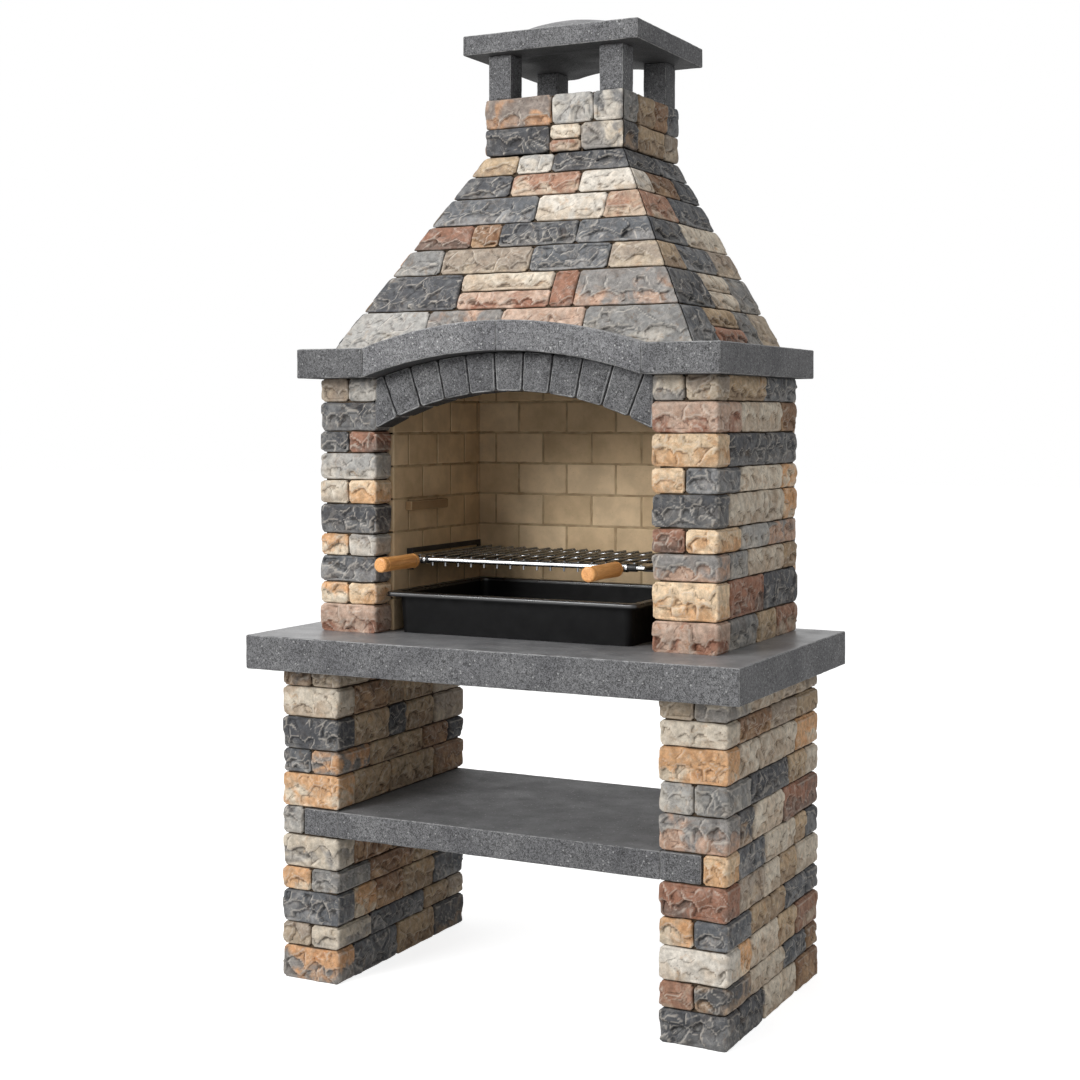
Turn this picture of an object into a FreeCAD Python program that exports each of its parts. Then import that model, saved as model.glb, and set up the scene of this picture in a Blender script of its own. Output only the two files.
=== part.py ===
import FreeCAD, Part

import math
import os
from collections import namedtuple
from types import SimpleNamespace

import Sketcher
from FreeCAD import Placement, Rotation, Vector

# A garden barbecue of split stone: two legs with a shelf, a worktop, two piers with a firebrick lining,
# a flat arch and mantel, a tapering hood, a chimney with a cap on posts, a sliding grill with folding
# handles and a sliding ember tray.
# Millimetres. X runs to the right, Y to the back and Z up, with Z = 0 on the floor. X = 0 is the middle of
# the width and Y = 0 the middle of the whole depth, from the worktop's front to the back of the cap.

SIZES = {
    # Worktop
    "worktop_width": 1210,
    "worktop_depth": 700,
    "worktop_thickness": 78,
    "worktop_height": 800,
    "slab_edge": 4,
    # Legs and shelf
    "leg_width": 150,
    "leg_spacing": 801,
    "leg_setback": 73,
    "leg_depth": 579,
    "shelf_height": 397,
    "shelf_thickness": 60,
    "shelf_bearing": 92,
    "shelf_end_depth": 70,
    # Piers and rear wall
    "pier_width": 148,
    "pier_setback": 152,
    "pier_height": 592,
    "rear_wall_inset": 18,
    "rear_wall_thickness": 38,
    "rear_stone_depth": 26,
    # Firebrick lining
    "firebrick_thickness": 22,
    "firebrick_length": 132,
    "firebrick_height": 74.5,
    "firebrick_joint": 3,
    "lining_stand": 8,
    "ledge_length": 175,
    "ledge_thickness": 23,
    "ledge_projection": 18,
    "ledge_height": 280,
    "ledge_setback": 50,
    # Mantel and flat arch
    "mantel_thickness": 68,
    "mantel_side_overhang": 30,
    "mantel_front_overhang": 59,
    "mantel_arch_inset": 2,
    "mantel_arch_rise": 56,
    "mantel_lip_depth": 42,
    "mantel_arch_depth": 129,
    "mantel_rear_depth": 82,
    "arch_spring_drop": 117,
    "arch_rise": 85,
    "arch_bed_gap": 0.3,
    "voussoir_count": 11,
    "voussoir_depth": 71,
    "voussoir_joint": 3,
    # Hood, chimney and cap
    "hood_height": 458,
    "hood_side_setback": 76,
    "hood_wall": 80,
    "chimney_width": 364,
    "chimney_depth": 324,
    "chimney_height": 138,
    "chimney_wall": 75,
    "cap_post_width": 60,
    "cap_post_depth": 60,
    "cap_post_height": 107,
    "cap_post_inset": 6,
    "cap_side_overhang": 46,
    "cap_front_overhang": 27,
    "cap_rear_overhang": 44,
    "cap_thickness": 47,
    "cap_dome_radius": 175,
    "cap_dome_rise": 50,
    "cap_vault_rise": 14,
    # Stones and mortar
    "stone_joint": 5,
    "mortar_recess": 9,
    "stone_chamfer": 6,
    "end_stone_short": 71,
    "end_stone_long": 140,
    "side_stone_depth": 45,
    "hood_stone_depth": 45,
    "chimney_stone_depth": 40,
    # Grill rails
    "rail_height": 162,
    "rail_length": 350,
    "rail_setback": 62,
    "rail_steel": 4,
    "rail_flange": 72,
    "rail_web": 28,
    "rail_strip": 12,
    "rail_plate_width": 17,
    "rail_plate_drop": 22,
    # Grill
    "grill_shift": 18,
    "grill_width": 588,
    "grill_side_room": 56,
    "grill_depth": 355,
    "grill_front_gap": 22,
    "grill_seat_gap": 0.3,
    "bar_diameter": 12,
    "bar_overhang": 12,
    "wire_diameter": 5,
    "wire_count": 15,
    "wire_inset": 53,
    "wire_side_gap": 18,
    "wire_gap": 0.1,
    "wire_bend": 6,
    "wire_drop": 15,
    "cross_rod_diameter": 10,
    "cross_rod_count": 3,
    "cross_rod_setback": 24,
    # Handles
    "handle_inset": 35,
    "grip_diameter": 34,
    "grip_length": 150,
    "grip_round": 9,
    "grip_setback": 45,
    "tang_diameter": 8,
    "tang_reach": 90,
    "tang_gap": 0.05,
    "eye_diameter": 20,
    "eye_width": 14,
    "eye_gap": 0.3,
    "tail_width": 6,
    "tail_thickness": 4,
    "tail_length": 30,
    "collar_diameter": 17,
    "collar_gap": 1,
    "inner_collar_width": 6,
    "outer_collar_width": 20,
    # Ember tray
    "tray_side_gap": 20,
    "tray_depth": 455,
    "tray_height": 96,
    "tray_flare": 8,
    "tray_wall": 2.5,
    "tray_corner": 14,
    "tray_rim_width": 22,
    "tray_rim_thickness": 10,
    "tray_rim_corner": 18,
    "tray_rim_round": 4,
    "tray_rear_gap": 8,
    "tray_shift": 18,
}

# Courses of a leg or pier from the bottom up: height, stones across the end face, whether the end stones
# are long, and the widths of the stones along the sides. Heights and widths are shares of the space.
Course = namedtuple("Course", "height across long_ends along")

LEFT_LEG_LOW = (
    Course(81, 1, False, (215, 195)),
    Course(53, 2, True, (195, 90)),
    Course(76, 1, False, (105, 140, 165)),
    Course(53, 2, True, (150, 130)),
    Course(77, 1, False, (185, 120, 110)),
)
LEFT_LEG_HIGH = (
    Course(79, 1, False, (175, 230)),
    Course(55, 2, True, (205, 100)),
    Course(76, 1, False, (175, 80, 150)),
    Course(71, 1, False, (170, 80, 155)),
    Course(45, 2, True, (150, 150)),
)
RIGHT_LEG_LOW = (
    Course(76, 1, False, (175, 245)),
    Course(57, 2, True, (180, 125)),
    Course(74, 1, False, (80, 205, 135)),
    Course(60, 2, True, (105, 80, 120)),
    Course(74, 1, False, (185, 125, 130)),
)
RIGHT_LEG_HIGH = (
    Course(79, 1, False, (100, 225, 95)),
    Course(66, 2, True, (205, 100)),
    Course(76, 1, False, (145, 175, 95)),
    Course(54, 1, False, (225, 190)),
    Course(51, 2, True, (170, 140)),
)
SHELF_COURSE = (170, 205, 80)
LEFT_PIER = (
    Course(68, 1, False, (170, 130, 135)),
    Course(50, 2, True, (190, 175)),
    Course(61, 1, False, (110, 220, 100)),
    Course(51, 2, True, (160, 205)),
    Course(70, 1, False, (240, 190)),
    Course(56, 2, True, (210, 155)),
    Course(63, 1, False, (220, 205)),
    Course(49, 2, True, (130, 235)),
    Course(68, 1, False, (230, 200)),
    Course(57, 2, True, (165, 195)),
)
RIGHT_PIER = (
    Course(70, 1, False, (170, 125, 130)),
    Course(84, 1, False, (215, 215)),
    Course(59, 1, False, (115, 225, 85)),
    Course(52, 2, True, (175, 190)),
    Course(73, 1, False, (345, 85)),
    Course(55, 2, True, (260, 100)),
    Course(73, 1, False, (230, 200)),
    Course(68, 1, False, (75, 265, 100)),
    Course(57, 2, False, (225, 210)),
)

# Rows of a plain wall from the bottom up: height and stone widths. A pair (width, 2) is two stones stacked.
REAR_WALL = (
    (70, (150, 90, 190, 130, 110, 170, 120)),
    (56, (100, 180, 120, 200, 90, 150, 120)),
    (66, (170, 130, 90, 160, 200, 110, 100)),
    (76, (120, 200, 150, 100, 130, 180, 80)),
    (54, (90, 140, 210, 120, 170, 100, 130)),
    (70, (180, 110, 130, 190, 90, 160, 100)),
    (62, (130, 170, 100, 150, 120, 90, 200)),
    (74, (110, 120, 200, 90, 180, 140, 120)),
    (64, (160, 190, 110, 130, 100, 170, 100)),
)
HOOD_FRONT = (
    (89, (297, 268, 290, 355)),
    (86, (313, (330, 2), 80, 330)),
    (61, (148, 315, 265, 172)),
    (56, (185, 95, 265, 253)),
    (65, (345, 235, 128)),
    (54, (180, 235, 187)),
    (47, (145, 122, 265)),
)
HOOD_SIDE = (
    (89, (150, (165, 2), 95, 110)),
    (86, (200, (150, 2), 130)),
    (61, (110, 170, 145)),
    (56, (170, 220)),
    (65, (165, 200)),
    (54, (90, 150, 110)),
    (47, (140, 125)),
)
CHIMNEY_FRONT = (
    (1, (370, (170, 2), 240)),
    (1, (380, 225, 170)),
)
CHIMNEY_SIDE = (
    (1, (85, 150, 80)),
    (1, (85, 95, 80, 65)),
)

TINY = 1e-6
AXIS_X = Rotation(Vector(0, 1, 0), 90)
AXIS_Y = Rotation(Vector(1, 0, 0), -90)
PLACES = {"x": "Placement.Base.x", "y": "Placement.Base.y", "z": "Placement.Base.z"}


class Size:
    """A size with its formula in the sheet's cells and its value."""

    def __init__(self, formula, value):
        self.formula = str(formula)
        self.value = float(value)

    def __float__(self):
        return self.value

    def joined(self, sign, other, value):
        return Size(f"({self.formula} {sign} {as_size(other).formula})", value)

    def __add__(self, other):
        return self.joined("+", other, self.value + float(other))

    def __sub__(self, other):
        return self.joined("-", other, self.value - float(other))

    def __mul__(self, other):
        return self.joined("*", other, self.value * float(other))

    def __truediv__(self, other):
        return self.joined("/", other, self.value / float(other))

    def __neg__(self):
        return self * -1


def as_size(number):
    return number if isinstance(number, Size) else Size(number, number)


doc = FreeCAD.newDocument("barbecue")
sheet = doc.addObject("Spreadsheet::Sheet", "dims")
for row, (alias, number) in enumerate(SIZES.items(), start=1):
    sheet.set(f"A{row}", alias)
    sheet.set(f"B{row}", str(number))
    sheet.setAlias(f"B{row}", alias)
doc.recompute()
d = SimpleNamespace(**{alias: Size(f"dims.{alias}", sheet.get(alias)) for alias in SIZES})
pieces = []


# Helpers: bound solids

def bind(item, **sizes):
    """Ties properties of an object to the sheet."""
    for name, size in sizes.items():
        item.setExpression(PLACES.get(name, name), as_size(size).formula)
    return item


def piece(item):
    """Marks an object as a sub-part, which gets a file of its own."""
    pieces.append(item)
    return item


def span(side, near, far):
    """Range across the width, from near the middle to far from it, on the left (-1) or the right (1)."""
    return (as_size(near), as_size(far)) if side > 0 else (-as_size(far), -as_size(near))


def box(name, x, y, z):
    solid = doc.addObject("Part::Box", name)
    bind(solid, Length=as_size(x[1]) - x[0], Width=as_size(y[1]) - y[0], Height=as_size(z[1]) - z[0])
    return bind(solid, x=x[0], y=y[0], z=z[0])


def rod(name, axis, radius, length, x, y, z):
    solid = doc.addObject("Part::Cylinder", name)
    solid.Placement = Placement(Vector(), axis)
    return bind(solid, Radius=radius, Height=length, x=x, y=y, z=z)


def boolean(kind, name, base, tool):
    result = doc.addObject(f"Part::{kind}", name)
    result.Base = base
    result.Tool = tool
    result.Refine = True
    return result


def group(name, members):
    result = doc.addObject("Part::Compound", name)
    result.Links = members
    return result


def fused(name, members):
    result = doc.addObject("Part::MultiFuse", name)
    result.Shapes = members
    result.Refine = True
    return result


def feature(name, shape):
    result = doc.addObject("Part::Feature", name)
    result.Shape = shape
    result.Placement = Placement()
    return result


def edges_where(shape, test):
    return [f"Edge{index}" for index, edge in enumerate(shape.Edges, start=1) if test(edge)]


# Helpers: sketched bodies

def new_sketch(body, name, role):
    sketch = body.newObject("Sketcher::SketchObject", name)
    plane = next(item for item in body.Origin.OriginFeatures if item.Role == role)
    sketch.AttachmentSupport = [(plane, "")]
    sketch.MapMode = "FlatFace"
    return sketch


def rectangle(body, name, width, depth, height=0):
    """Sketch of a rectangle about the body's origin, at a height above its XY plane."""
    sketch = new_sketch(body, name, "XY_Plane")
    half = Vector(float(width) / 2, float(depth) / 2)
    signs = ((-1, -1), (1, -1), (1, 1), (-1, 1))
    corners = [Vector(x * half.x, y * half.y) for x, y in signs]
    for start, end in zip(corners, corners[1:] + corners[:1]):
        sketch.addGeometry(Part.LineSegment(start, end))
    for line in range(4):
        sketch.addConstraint(Sketcher.Constraint("Coincident", line, 2, (line + 1) % 4, 1))
        sketch.addConstraint(Sketcher.Constraint("Vertical" if line % 2 else "Horizontal", line))
    sketch.addConstraint(Sketcher.Constraint("Symmetric", 0, 1, 1, 2, -1, 1))
    across = sketch.addConstraint(Sketcher.Constraint("DistanceX", 0, 1, 0, 2, 2 * half.x))
    along = sketch.addConstraint(Sketcher.Constraint("DistanceY", 1, 1, 1, 2, 2 * half.y))
    sketch.renameConstraint(across, "width")
    sketch.renameConstraint(along, "depth")
    bind(sketch, **{"Constraints.width": width, "Constraints.depth": depth})
    sketch.setExpression("AttachmentOffset.Base.z", as_size(height).formula)
    return sketch


def rounded_rectangle(body, name, width, depth, radius, height=0):
    """Sketch of a rectangle with round corners about the body's origin, at a height above its XY plane."""
    sketch = new_sketch(body, name, "XY_Plane")
    corner = float(radius)
    inner = Vector(float(width) / 2 - corner, float(depth) / 2 - corner)
    for turn, (x, y) in enumerate(((1, -1), (1, 1), (-1, 1), (-1, -1))):
        centre = Vector(x * inner.x, y * inner.y)
        start = math.pi / 2 * (turn - 1)
        circle = Part.Circle(centre, Vector(0, 0, 1), corner)
        sketch.addGeometry(Part.ArcOfCircle(circle, start, start + math.pi / 2))
    for arc in range(4):
        ends = sketch.Geometry[arc].EndPoint, sketch.Geometry[(arc + 1) % 4].StartPoint
        line = sketch.addGeometry(Part.LineSegment(*ends))
        sketch.addConstraint(Sketcher.Constraint("Tangent", arc, 2, line, 1))
        sketch.addConstraint(Sketcher.Constraint("Tangent", line, 2, (arc + 1) % 4, 1))
        sketch.addConstraint(Sketcher.Constraint("Horizontal" if arc % 2 else "Vertical", line))
    for arc in range(1, 4):
        sketch.addConstraint(Sketcher.Constraint("Equal", 0, arc))
    sketch.addConstraint(Sketcher.Constraint("Symmetric", 0, 3, 2, 3, -1, 1))
    sizes = {"radius": radius, "width": width, "depth": depth}
    numbers = [
        sketch.addConstraint(Sketcher.Constraint("Radius", 0, corner)),
        sketch.addConstraint(Sketcher.Constraint("DistanceX", 6, 1, 4, 1, float(width))),
        sketch.addConstraint(Sketcher.Constraint("DistanceY", 7, 1, 5, 1, float(depth))),
    ]
    for number, alias in zip(numbers, sizes):
        sketch.renameConstraint(number, alias)
        bind(sketch, **{f"Constraints.{alias}": sizes[alias]})
    sketch.setExpression("AttachmentOffset.Base.z", as_size(height).formula)
    return sketch


def disc(body, name, diameter):
    """Sketch of a circle about the body's origin, across the Y axis."""
    sketch = new_sketch(body, name, "XZ_Plane")
    sketch.addGeometry(Part.Circle(Vector(), Vector(0, 0, 1), float(diameter) / 2))
    sketch.addConstraint(Sketcher.Constraint("Coincident", 0, 3, -1, 1))
    size = sketch.addConstraint(Sketcher.Constraint("Diameter", 0, float(diameter)))
    sketch.renameConstraint(size, "diameter")
    return bind(sketch, **{"Constraints.diameter": diameter})


def pad(body, sketch, length, **sizes):
    solid = body.newObject("PartDesign::Pad", sketch.Name + "_pad")
    solid.Profile = sketch
    return bind(solid, Length=length, **sizes)


def pocket(body, sketch, length, **sizes):
    hollow = body.newObject("PartDesign::Pocket", sketch.Name + "_pocket")
    hollow.Profile = sketch
    return bind(hollow, Length=length, **sizes)


def rounded(body, base, test, radius):
    """Rounds the edges of the body's last feature that pass a test."""
    doc.recompute()
    fillet = body.newObject("PartDesign::Fillet", base.Name + "_round")
    fillet.Base = (base, edges_where(base.Shape, test))
    return bind(fillet, Radius=radius)


def slab(name, x, y, z):
    """A cast slab with softened edges."""
    body = doc.addObject("PartDesign::Body", name)
    outline = rectangle(body, f"{name}_outline", as_size(x[1]) - x[0], as_size(y[1]) - y[0])
    plate = pad(body, outline, as_size(z[1]) - z[0])
    rounded(body, plate, lambda edge: True, d.slab_edge)
    return bind(body, x=(as_size(x[0]) + x[1]) / 2, y=(as_size(y[0]) + y[1]) / 2, z=z[0])


# Helpers: stones

class Wall:
    """An upright or leaning outer face. Places on it are a distance along it, a height and a depth."""

    def __init__(self, along, face, inward, foot, lean, left, left_lean, right, right_lean, mitre):
        self.along = along
        self.face = face
        self.inward = inward
        self.foot = foot
        self.lean = lean
        self.ends = ((left, left_lean, mitre), (right, right_lean, -mitre))

    def point(self, place, height, depth):
        across = self.face + self.inward * (depth + self.lean * (height - self.foot))
        return Vector(place, across, height) if self.along == "x" else Vector(across, place, height)

    def end(self, which, height, depth):
        start, lean, mitre = self.ends[which]
        return start + lean * (height - self.foot) + mitre * depth


def four_walls(foot, height, low, high, mitre):
    """Front, right, rear and left wall between a low and a high rectangle (x0, x1, y0, y1)."""
    left, right, front, rear = ((top - bottom) / height for bottom, top in zip(low, high))
    x0, x1, y0, y1 = low
    return {
        "front": Wall("x", y0, 1, foot, front, x0, left, x1, right, mitre),
        "rear": Wall("x", y1, -1, foot, -rear, x0, left, x1, right, mitre),
        "left": Wall("y", x0, 1, foot, left, y0, front, y1, rear, mitre),
        "right": Wall("y", x1, -1, foot, -right, y0, front, y1, rear, mitre),
    }


def polyhedron(rings):
    """Solid through a row of four-cornered sections."""
    faces = [rings[0], rings[-1]]
    for one, two in zip(rings, rings[1:]):
        for corner in range(4):
            faces.append([one[corner - 1], one[corner], two[corner], two[corner - 1]])
    shell = Part.Shell([Part.Face(Part.makePolygon(face + face[:1])) for face in faces])
    solid = Part.Solid(shell)
    return solid if solid.Volume > 0 else solid.reversed()


def section(wall, left, right, low, high, depth, trim=0.0):
    """Corners of a stone at one depth. An end that is None is the wall's own corner."""
    gap = float(d.stone_joint) / 2
    corners = []
    for height in (low + trim, high - trim):
        start = wall.end(0, height, depth) + gap if left is None else left
        stop = wall.end(1, height, depth) - gap if right is None else right
        corners.append([wall.point(start + trim, height, depth), wall.point(stop - trim, height, depth)])
    return corners[0] + corners[1][::-1]


def stone(wall, left, right, low, high, depth):
    """One stone with chamfered outer edges, and the plain pocket that it sits in."""
    chamfer = float(d.stone_chamfer)
    reach = float(depth)
    sides = (wall, left, right, low, high)
    back = section(*sides, reach)
    dressed = polyhedron([section(*sides, 0.0, chamfer), section(*sides, chamfer), back])
    return dressed, polyhedron([section(*sides, 0.0), back])


def split(start, stop, shares, joint):
    """Divides a length by shares, with a joint between neighbours."""
    usable = stop - start - joint * (len(shares) - 1)
    ranges = []
    for share in shares:
        length = usable * share / sum(shares)
        ranges.append((start, start + length))
        start += length + joint
    return ranges


def course_stones(wall, low, high, widths, depth, limits=(None, None)):
    """Stones of one course between two limits along the wall, or between the wall's corners."""
    joint = float(d.stone_joint)
    middle = (low + high) / 2
    start, stop = (wall.end(end, middle, 0) if limit is None else limit for end, limit in enumerate(limits))
    stacks = [width if isinstance(width, tuple) else (width, 1) for width in widths]
    stones = []
    for index, (left, right) in enumerate(split(start, stop, [width for width, count in stacks], joint)):
        left = limits[0] if index == 0 else left
        right = limits[1] if index == len(stacks) - 1 else right
        for bottom, top in split(low, high, [1] * stacks[index][1], joint):
            stones.append(stone(wall, left, right, bottom, top, depth))
    return stones


def wall_stones(wall, low, high, rows, depth, limits=(None, None)):
    stones = []
    heights = split(low, high, [height for height, widths in rows], float(d.stone_joint))
    for (height, widths), (bottom, top) in zip(rows, heights):
        stones += course_stones(wall, bottom, top, widths, depth, limits)
    return stones


def stone_node(name, stones):
    """The node that holds a wall's stones, and the pockets for its core."""
    piece(feature(name, Part.makeCompound([dressed for dressed, blank in stones])))
    return feature(f"{name}_pockets", Part.makeCompound([blank for dressed, blank in stones]))


def mirrored_rows(rows):
    return tuple((height, widths[::-1]) for height, widths in rows)


# Levels and planes that several pieces share

front_edge = -(d.worktop_depth + d.cap_rear_overhang) / 2
back_plane = front_edge + d.worktop_depth
worktop_under = d.worktop_height - d.worktop_thickness
shelf_under = d.shelf_height - d.shelf_thickness
leg_inner = d.leg_spacing / 2
leg_outer = leg_inner + d.leg_width
leg_front = front_edge + d.leg_setback
leg_rear = leg_front + d.leg_depth
shelf_end = leg_inner + d.shelf_bearing
pier_inner = d.grill_width / 2 + d.grill_side_room
pier_outer = pier_inner + d.pier_width
pier_front = front_edge + d.pier_setback
pier_rear = back_plane - d.rear_wall_thickness
mantel_under = d.worktop_height + d.pier_height
mantel_top = mantel_under + d.mantel_thickness
lining_face = pier_inner - d.lining_stand
lining_back = lining_face + d.firebrick_thickness
lining_front = pier_front + d.end_stone_short
lining_rear = pier_rear - d.firebrick_thickness


# Worktop, shelf and legs

def make_worktop():
    half = d.worktop_width / 2
    piece(slab("worktop_slab", (-half, half), (front_edge, back_plane), (worktop_under, d.worktop_height)))


def make_shelf():
    """A slab that beds in both legs, with a facing block in front of each bedded end."""
    level = (shelf_under, d.shelf_height)
    block_rear = leg_front + d.shelf_end_depth
    bed = box("shelf_bed", (-shelf_end, shelf_end), (block_rear, leg_rear), level)
    nose = box("shelf_nose", (-leg_inner, leg_inner), (leg_front, block_rear), level)
    shelf = piece(fused("shelf_slab", [bed, nose]))
    blocks = {}
    for side, word in ((-1, "left"), (1, "right")):
        across = span(side, leg_inner, shelf_end)
        blocks[side] = piece(box(f"shelf_{word}_end", across, (leg_front, block_rear), level))
    return shelf, blocks


def leg_course(walls, course, bottom, top):
    """One course round a leg: end stones at the front and rear, thin stones along both sides."""
    joint = float(d.stone_joint)
    ends = [float(d.end_stone_long), float(d.end_stone_short)]
    front_reach, rear_reach = ends if course.long_ends else ends[::-1]
    x0, x1 = (walls["front"].end(end, bottom, 0) for end in (0, 1))
    y0, y1 = (walls["left"].end(end, bottom, 0) for end in (0, 1))
    across = [1] * course.across
    limits = (y0 + front_reach + joint, y1 - rear_reach - joint)
    stones = course_stones(walls["front"], bottom, top, across, front_reach, (x0, x1))
    stones += course_stones(walls["rear"], bottom, top, across, rear_reach, (x0, x1))
    for word in ("left", "right"):
        stones += course_stones(walls[word], bottom, top, course.along, d.side_stone_depth, limits)
    return stones


def shelf_course(walls, side, bottom, top):
    """The course beside the shelf: stones on the outer face only, past the shelf's bedded end."""
    joint = float(d.stone_joint)
    across = sorted((side * (float(shelf_end) + joint), side * float(leg_outer)))
    y0, y1 = float(leg_front), float(leg_rear)
    reach = float(d.end_stone_short)
    limits = (y0 + reach + joint, y1 - reach - joint)
    outer = walls["right" if side > 0 else "left"]
    stones = course_stones(walls["front"], bottom, top, [1], reach, across)
    stones += course_stones(walls["rear"], bottom, top, [1], reach, across)
    return stones + course_stones(outer, bottom, top, SHELF_COURSE, d.side_stone_depth, limits)


def make_leg(side, word, low_courses, high_courses, shelf, shelf_block):
    joint = float(d.stone_joint)
    outline = [float(size) for size in span(side, leg_inner, leg_outer) + (leg_front, leg_rear)]
    walls = four_walls(0, float(worktop_under), outline, outline, 0)
    stones = []
    bands = (
        (0, float(shelf_under) - joint, low_courses),
        (float(d.shelf_height) + joint, float(worktop_under), high_courses),
    )
    for low, high, courses in bands:
        levels = split(low, high, [course.height for course in courses], joint)
        for course, (bottom, top) in zip(courses, levels):
            stones += leg_course(walls, course, bottom, top)
    stones += shelf_course(walls, side, float(shelf_under), float(d.shelf_height))
    pockets = stone_node(f"{word}_leg_stones", stones)
    recess = d.mortar_recess
    block = box(f"{word}_leg_block", span(side, leg_inner + recess, leg_outer - recess),
                (leg_front + recess, leg_rear - recess), (0, worktop_under))
    tools = group(f"{word}_leg_tools", [pockets, shelf, shelf_block])
    piece(boolean("Cut", f"{word}_leg_core", block, tools))


# Piers, rear wall and lining

def make_pier(side, word, courses):
    """An upper pier. Its front stones cover the end of the lining, and thin stones face its outer side."""
    joint = float(d.stone_joint)
    outline = [float(size) for size in span(side, pier_inner, pier_outer) + (pier_front, pier_rear)]
    walls = four_walls(float(d.worktop_height), float(d.pier_height), outline, outline, 0)
    short, long = float(d.end_stone_short), float(d.end_stone_long)
    x0, x1, y0, y1 = outline
    stones = []
    levels = split(float(d.worktop_height), float(mantel_under), [course.height for course in courses], joint)
    for course, (bottom, top) in zip(courses, levels):
        outer_reach = long if course.long_ends else short
        for index, (left, right) in enumerate(split(x0, x1, [1] * course.across, joint)):
            outermost = index == (course.across - 1 if side > 0 else 0)
            reach = outer_reach if outermost else short
            stones.append(stone(walls["front"], left, right, bottom, top, reach))
        outer = walls["right" if side > 0 else "left"]
        limits = (y0 + outer_reach + joint, y1)
        stones += course_stones(outer, bottom, top, course.along, d.side_stone_depth, limits)
    pockets = stone_node(f"{word}_pier_stones", stones)
    block = box(f"{word}_pier_block", span(side, lining_back, pier_outer - d.mortar_recess),
                (pier_front + d.mortar_recess, pier_rear), (d.worktop_height, mantel_under))
    piece(boolean("Cut", f"{word}_pier_core", block, pockets))


def make_rear_wall():
    half = pier_outer - d.rear_wall_inset
    low, high = float(d.worktop_height), float(mantel_under)
    outline = [-float(half), float(half), float(pier_rear), float(back_plane)]
    wall = four_walls(low, high - low, outline, outline, 0)["rear"]
    stones = wall_stones(wall, low, high, REAR_WALL, d.rear_stone_depth, (outline[0], outline[1]))
    pockets = stone_node("rear_wall_stones", stones)
    block = box("rear_wall_block", (-half + d.mortar_recess, half - d.mortar_recess),
                (pier_rear, back_plane - d.mortar_recess), (d.worktop_height, mantel_under))
    piece(boolean("Cut", "rear_wall_core", block, pockets))


def brick_panel(width, height):
    """Bricks in running bond on a panel: ranges along and up, from its lower left corner."""
    joint = float(d.firebrick_joint)
    length, rise = float(d.firebrick_length), float(d.firebrick_height)
    bricks = []
    bottom, row = 0.0, 0
    while bottom < height:
        top = min(bottom + rise, height)
        start = 0.0
        stop = length / 2 if row % 2 else length
        while start < width:
            bricks.append(((start, min(stop, width)), (bottom, top)))
            start = stop + joint
            stop = start + length
        bottom = top + joint
        row += 1
    return bricks


def make_lining():
    """Firebricks on both sides and across the back, and a ledge brick on each side."""
    height = float(d.pier_height)
    thickness = float(d.firebrick_thickness)
    depth = float(lining_rear) - float(lining_front)
    base = float(d.worktop_height)
    for side, word in ((-1, "left"), (1, "right")):
        x0 = float(span(side, lining_face, lining_back)[0])
        bricks = []
        for (start, stop), (bottom, top) in brick_panel(depth, height):
            corner = Vector(x0, float(lining_front) + start, base + bottom)
            bricks.append(Part.makeBox(thickness, stop - start, top - bottom, corner))
        piece(feature(f"{word}_firebricks", Part.makeCompound(bricks)))
        ledge_front = lining_front + d.ledge_setback
        ledge_under = d.worktop_height + d.ledge_height
        across = span(side, lining_face - d.ledge_projection, lining_face)
        along = (ledge_front, ledge_front + d.ledge_length)
        piece(box(f"{word}_grill_ledge", across, along, (ledge_under, ledge_under + d.ledge_thickness)))
    half = float(lining_back)
    bricks = []
    for (start, stop), (bottom, top) in brick_panel(2 * half, height):
        corner = Vector(start - half, float(lining_rear), base + bottom)
        bricks.append(Part.makeBox(stop - start, thickness, top - bottom, corner))
    piece(feature("rear_firebricks", Part.makeCompound(bricks)))


# Mantel and flat arch

def arc_rod(name, half_span, rise, foot, y, shrink=0):
    """Cylinder along Y whose top passes over a segmental arch of a given half span, rise and foot level."""
    radius = (half_span * half_span + rise * rise) / (rise * 2)
    return rod(name, AXIS_Y, radius - shrink, y[1] - y[0], Size(0, 0), y[0], foot + rise - radius)


def make_mantel():
    """Two end blocks, a raised front arch in two halves, and a rear block."""
    outer = pier_outer + d.mantel_side_overhang
    half = pier_inner - d.mantel_arch_inset
    front = pier_front - d.mantel_front_overhang
    lip_rear = front + d.mantel_lip_depth
    seat_rear = front + d.mantel_arch_depth
    reach = (front, seat_rear)
    crown = arc_rod("mantel_crown", half, d.mantel_arch_rise, mantel_top, reach)
    hollow = arc_rod("mantel_hollow", half, d.mantel_arch_rise, mantel_under, reach)
    for side, word in ((-1, "left"), (1, "right")):
        level = (mantel_under, mantel_top)
        piece(slab(f"mantel_{word}", span(side, half, outer), (front, back_plane), level))
        across = span(side, 0, half)
        lip_level = (mantel_under, mantel_top + d.mantel_arch_rise)
        lip = box(f"mantel_lip_{word}", across, (front, lip_rear), lip_level)
        seat = box(f"mantel_seat_{word}", across, (lip_rear, seat_rear), level)
        blank = fused(f"mantel_blank_{word}", [lip, seat])
        arched = boolean("Common", f"mantel_arched_{word}", blank, crown)
        piece(boolean("Cut", f"mantel_arch_{word}", arched, hollow))
    piece(box("mantel_rear", (-half, half), (back_plane - d.mantel_rear_depth, back_plane),
              (mantel_under, mantel_top)))


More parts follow.
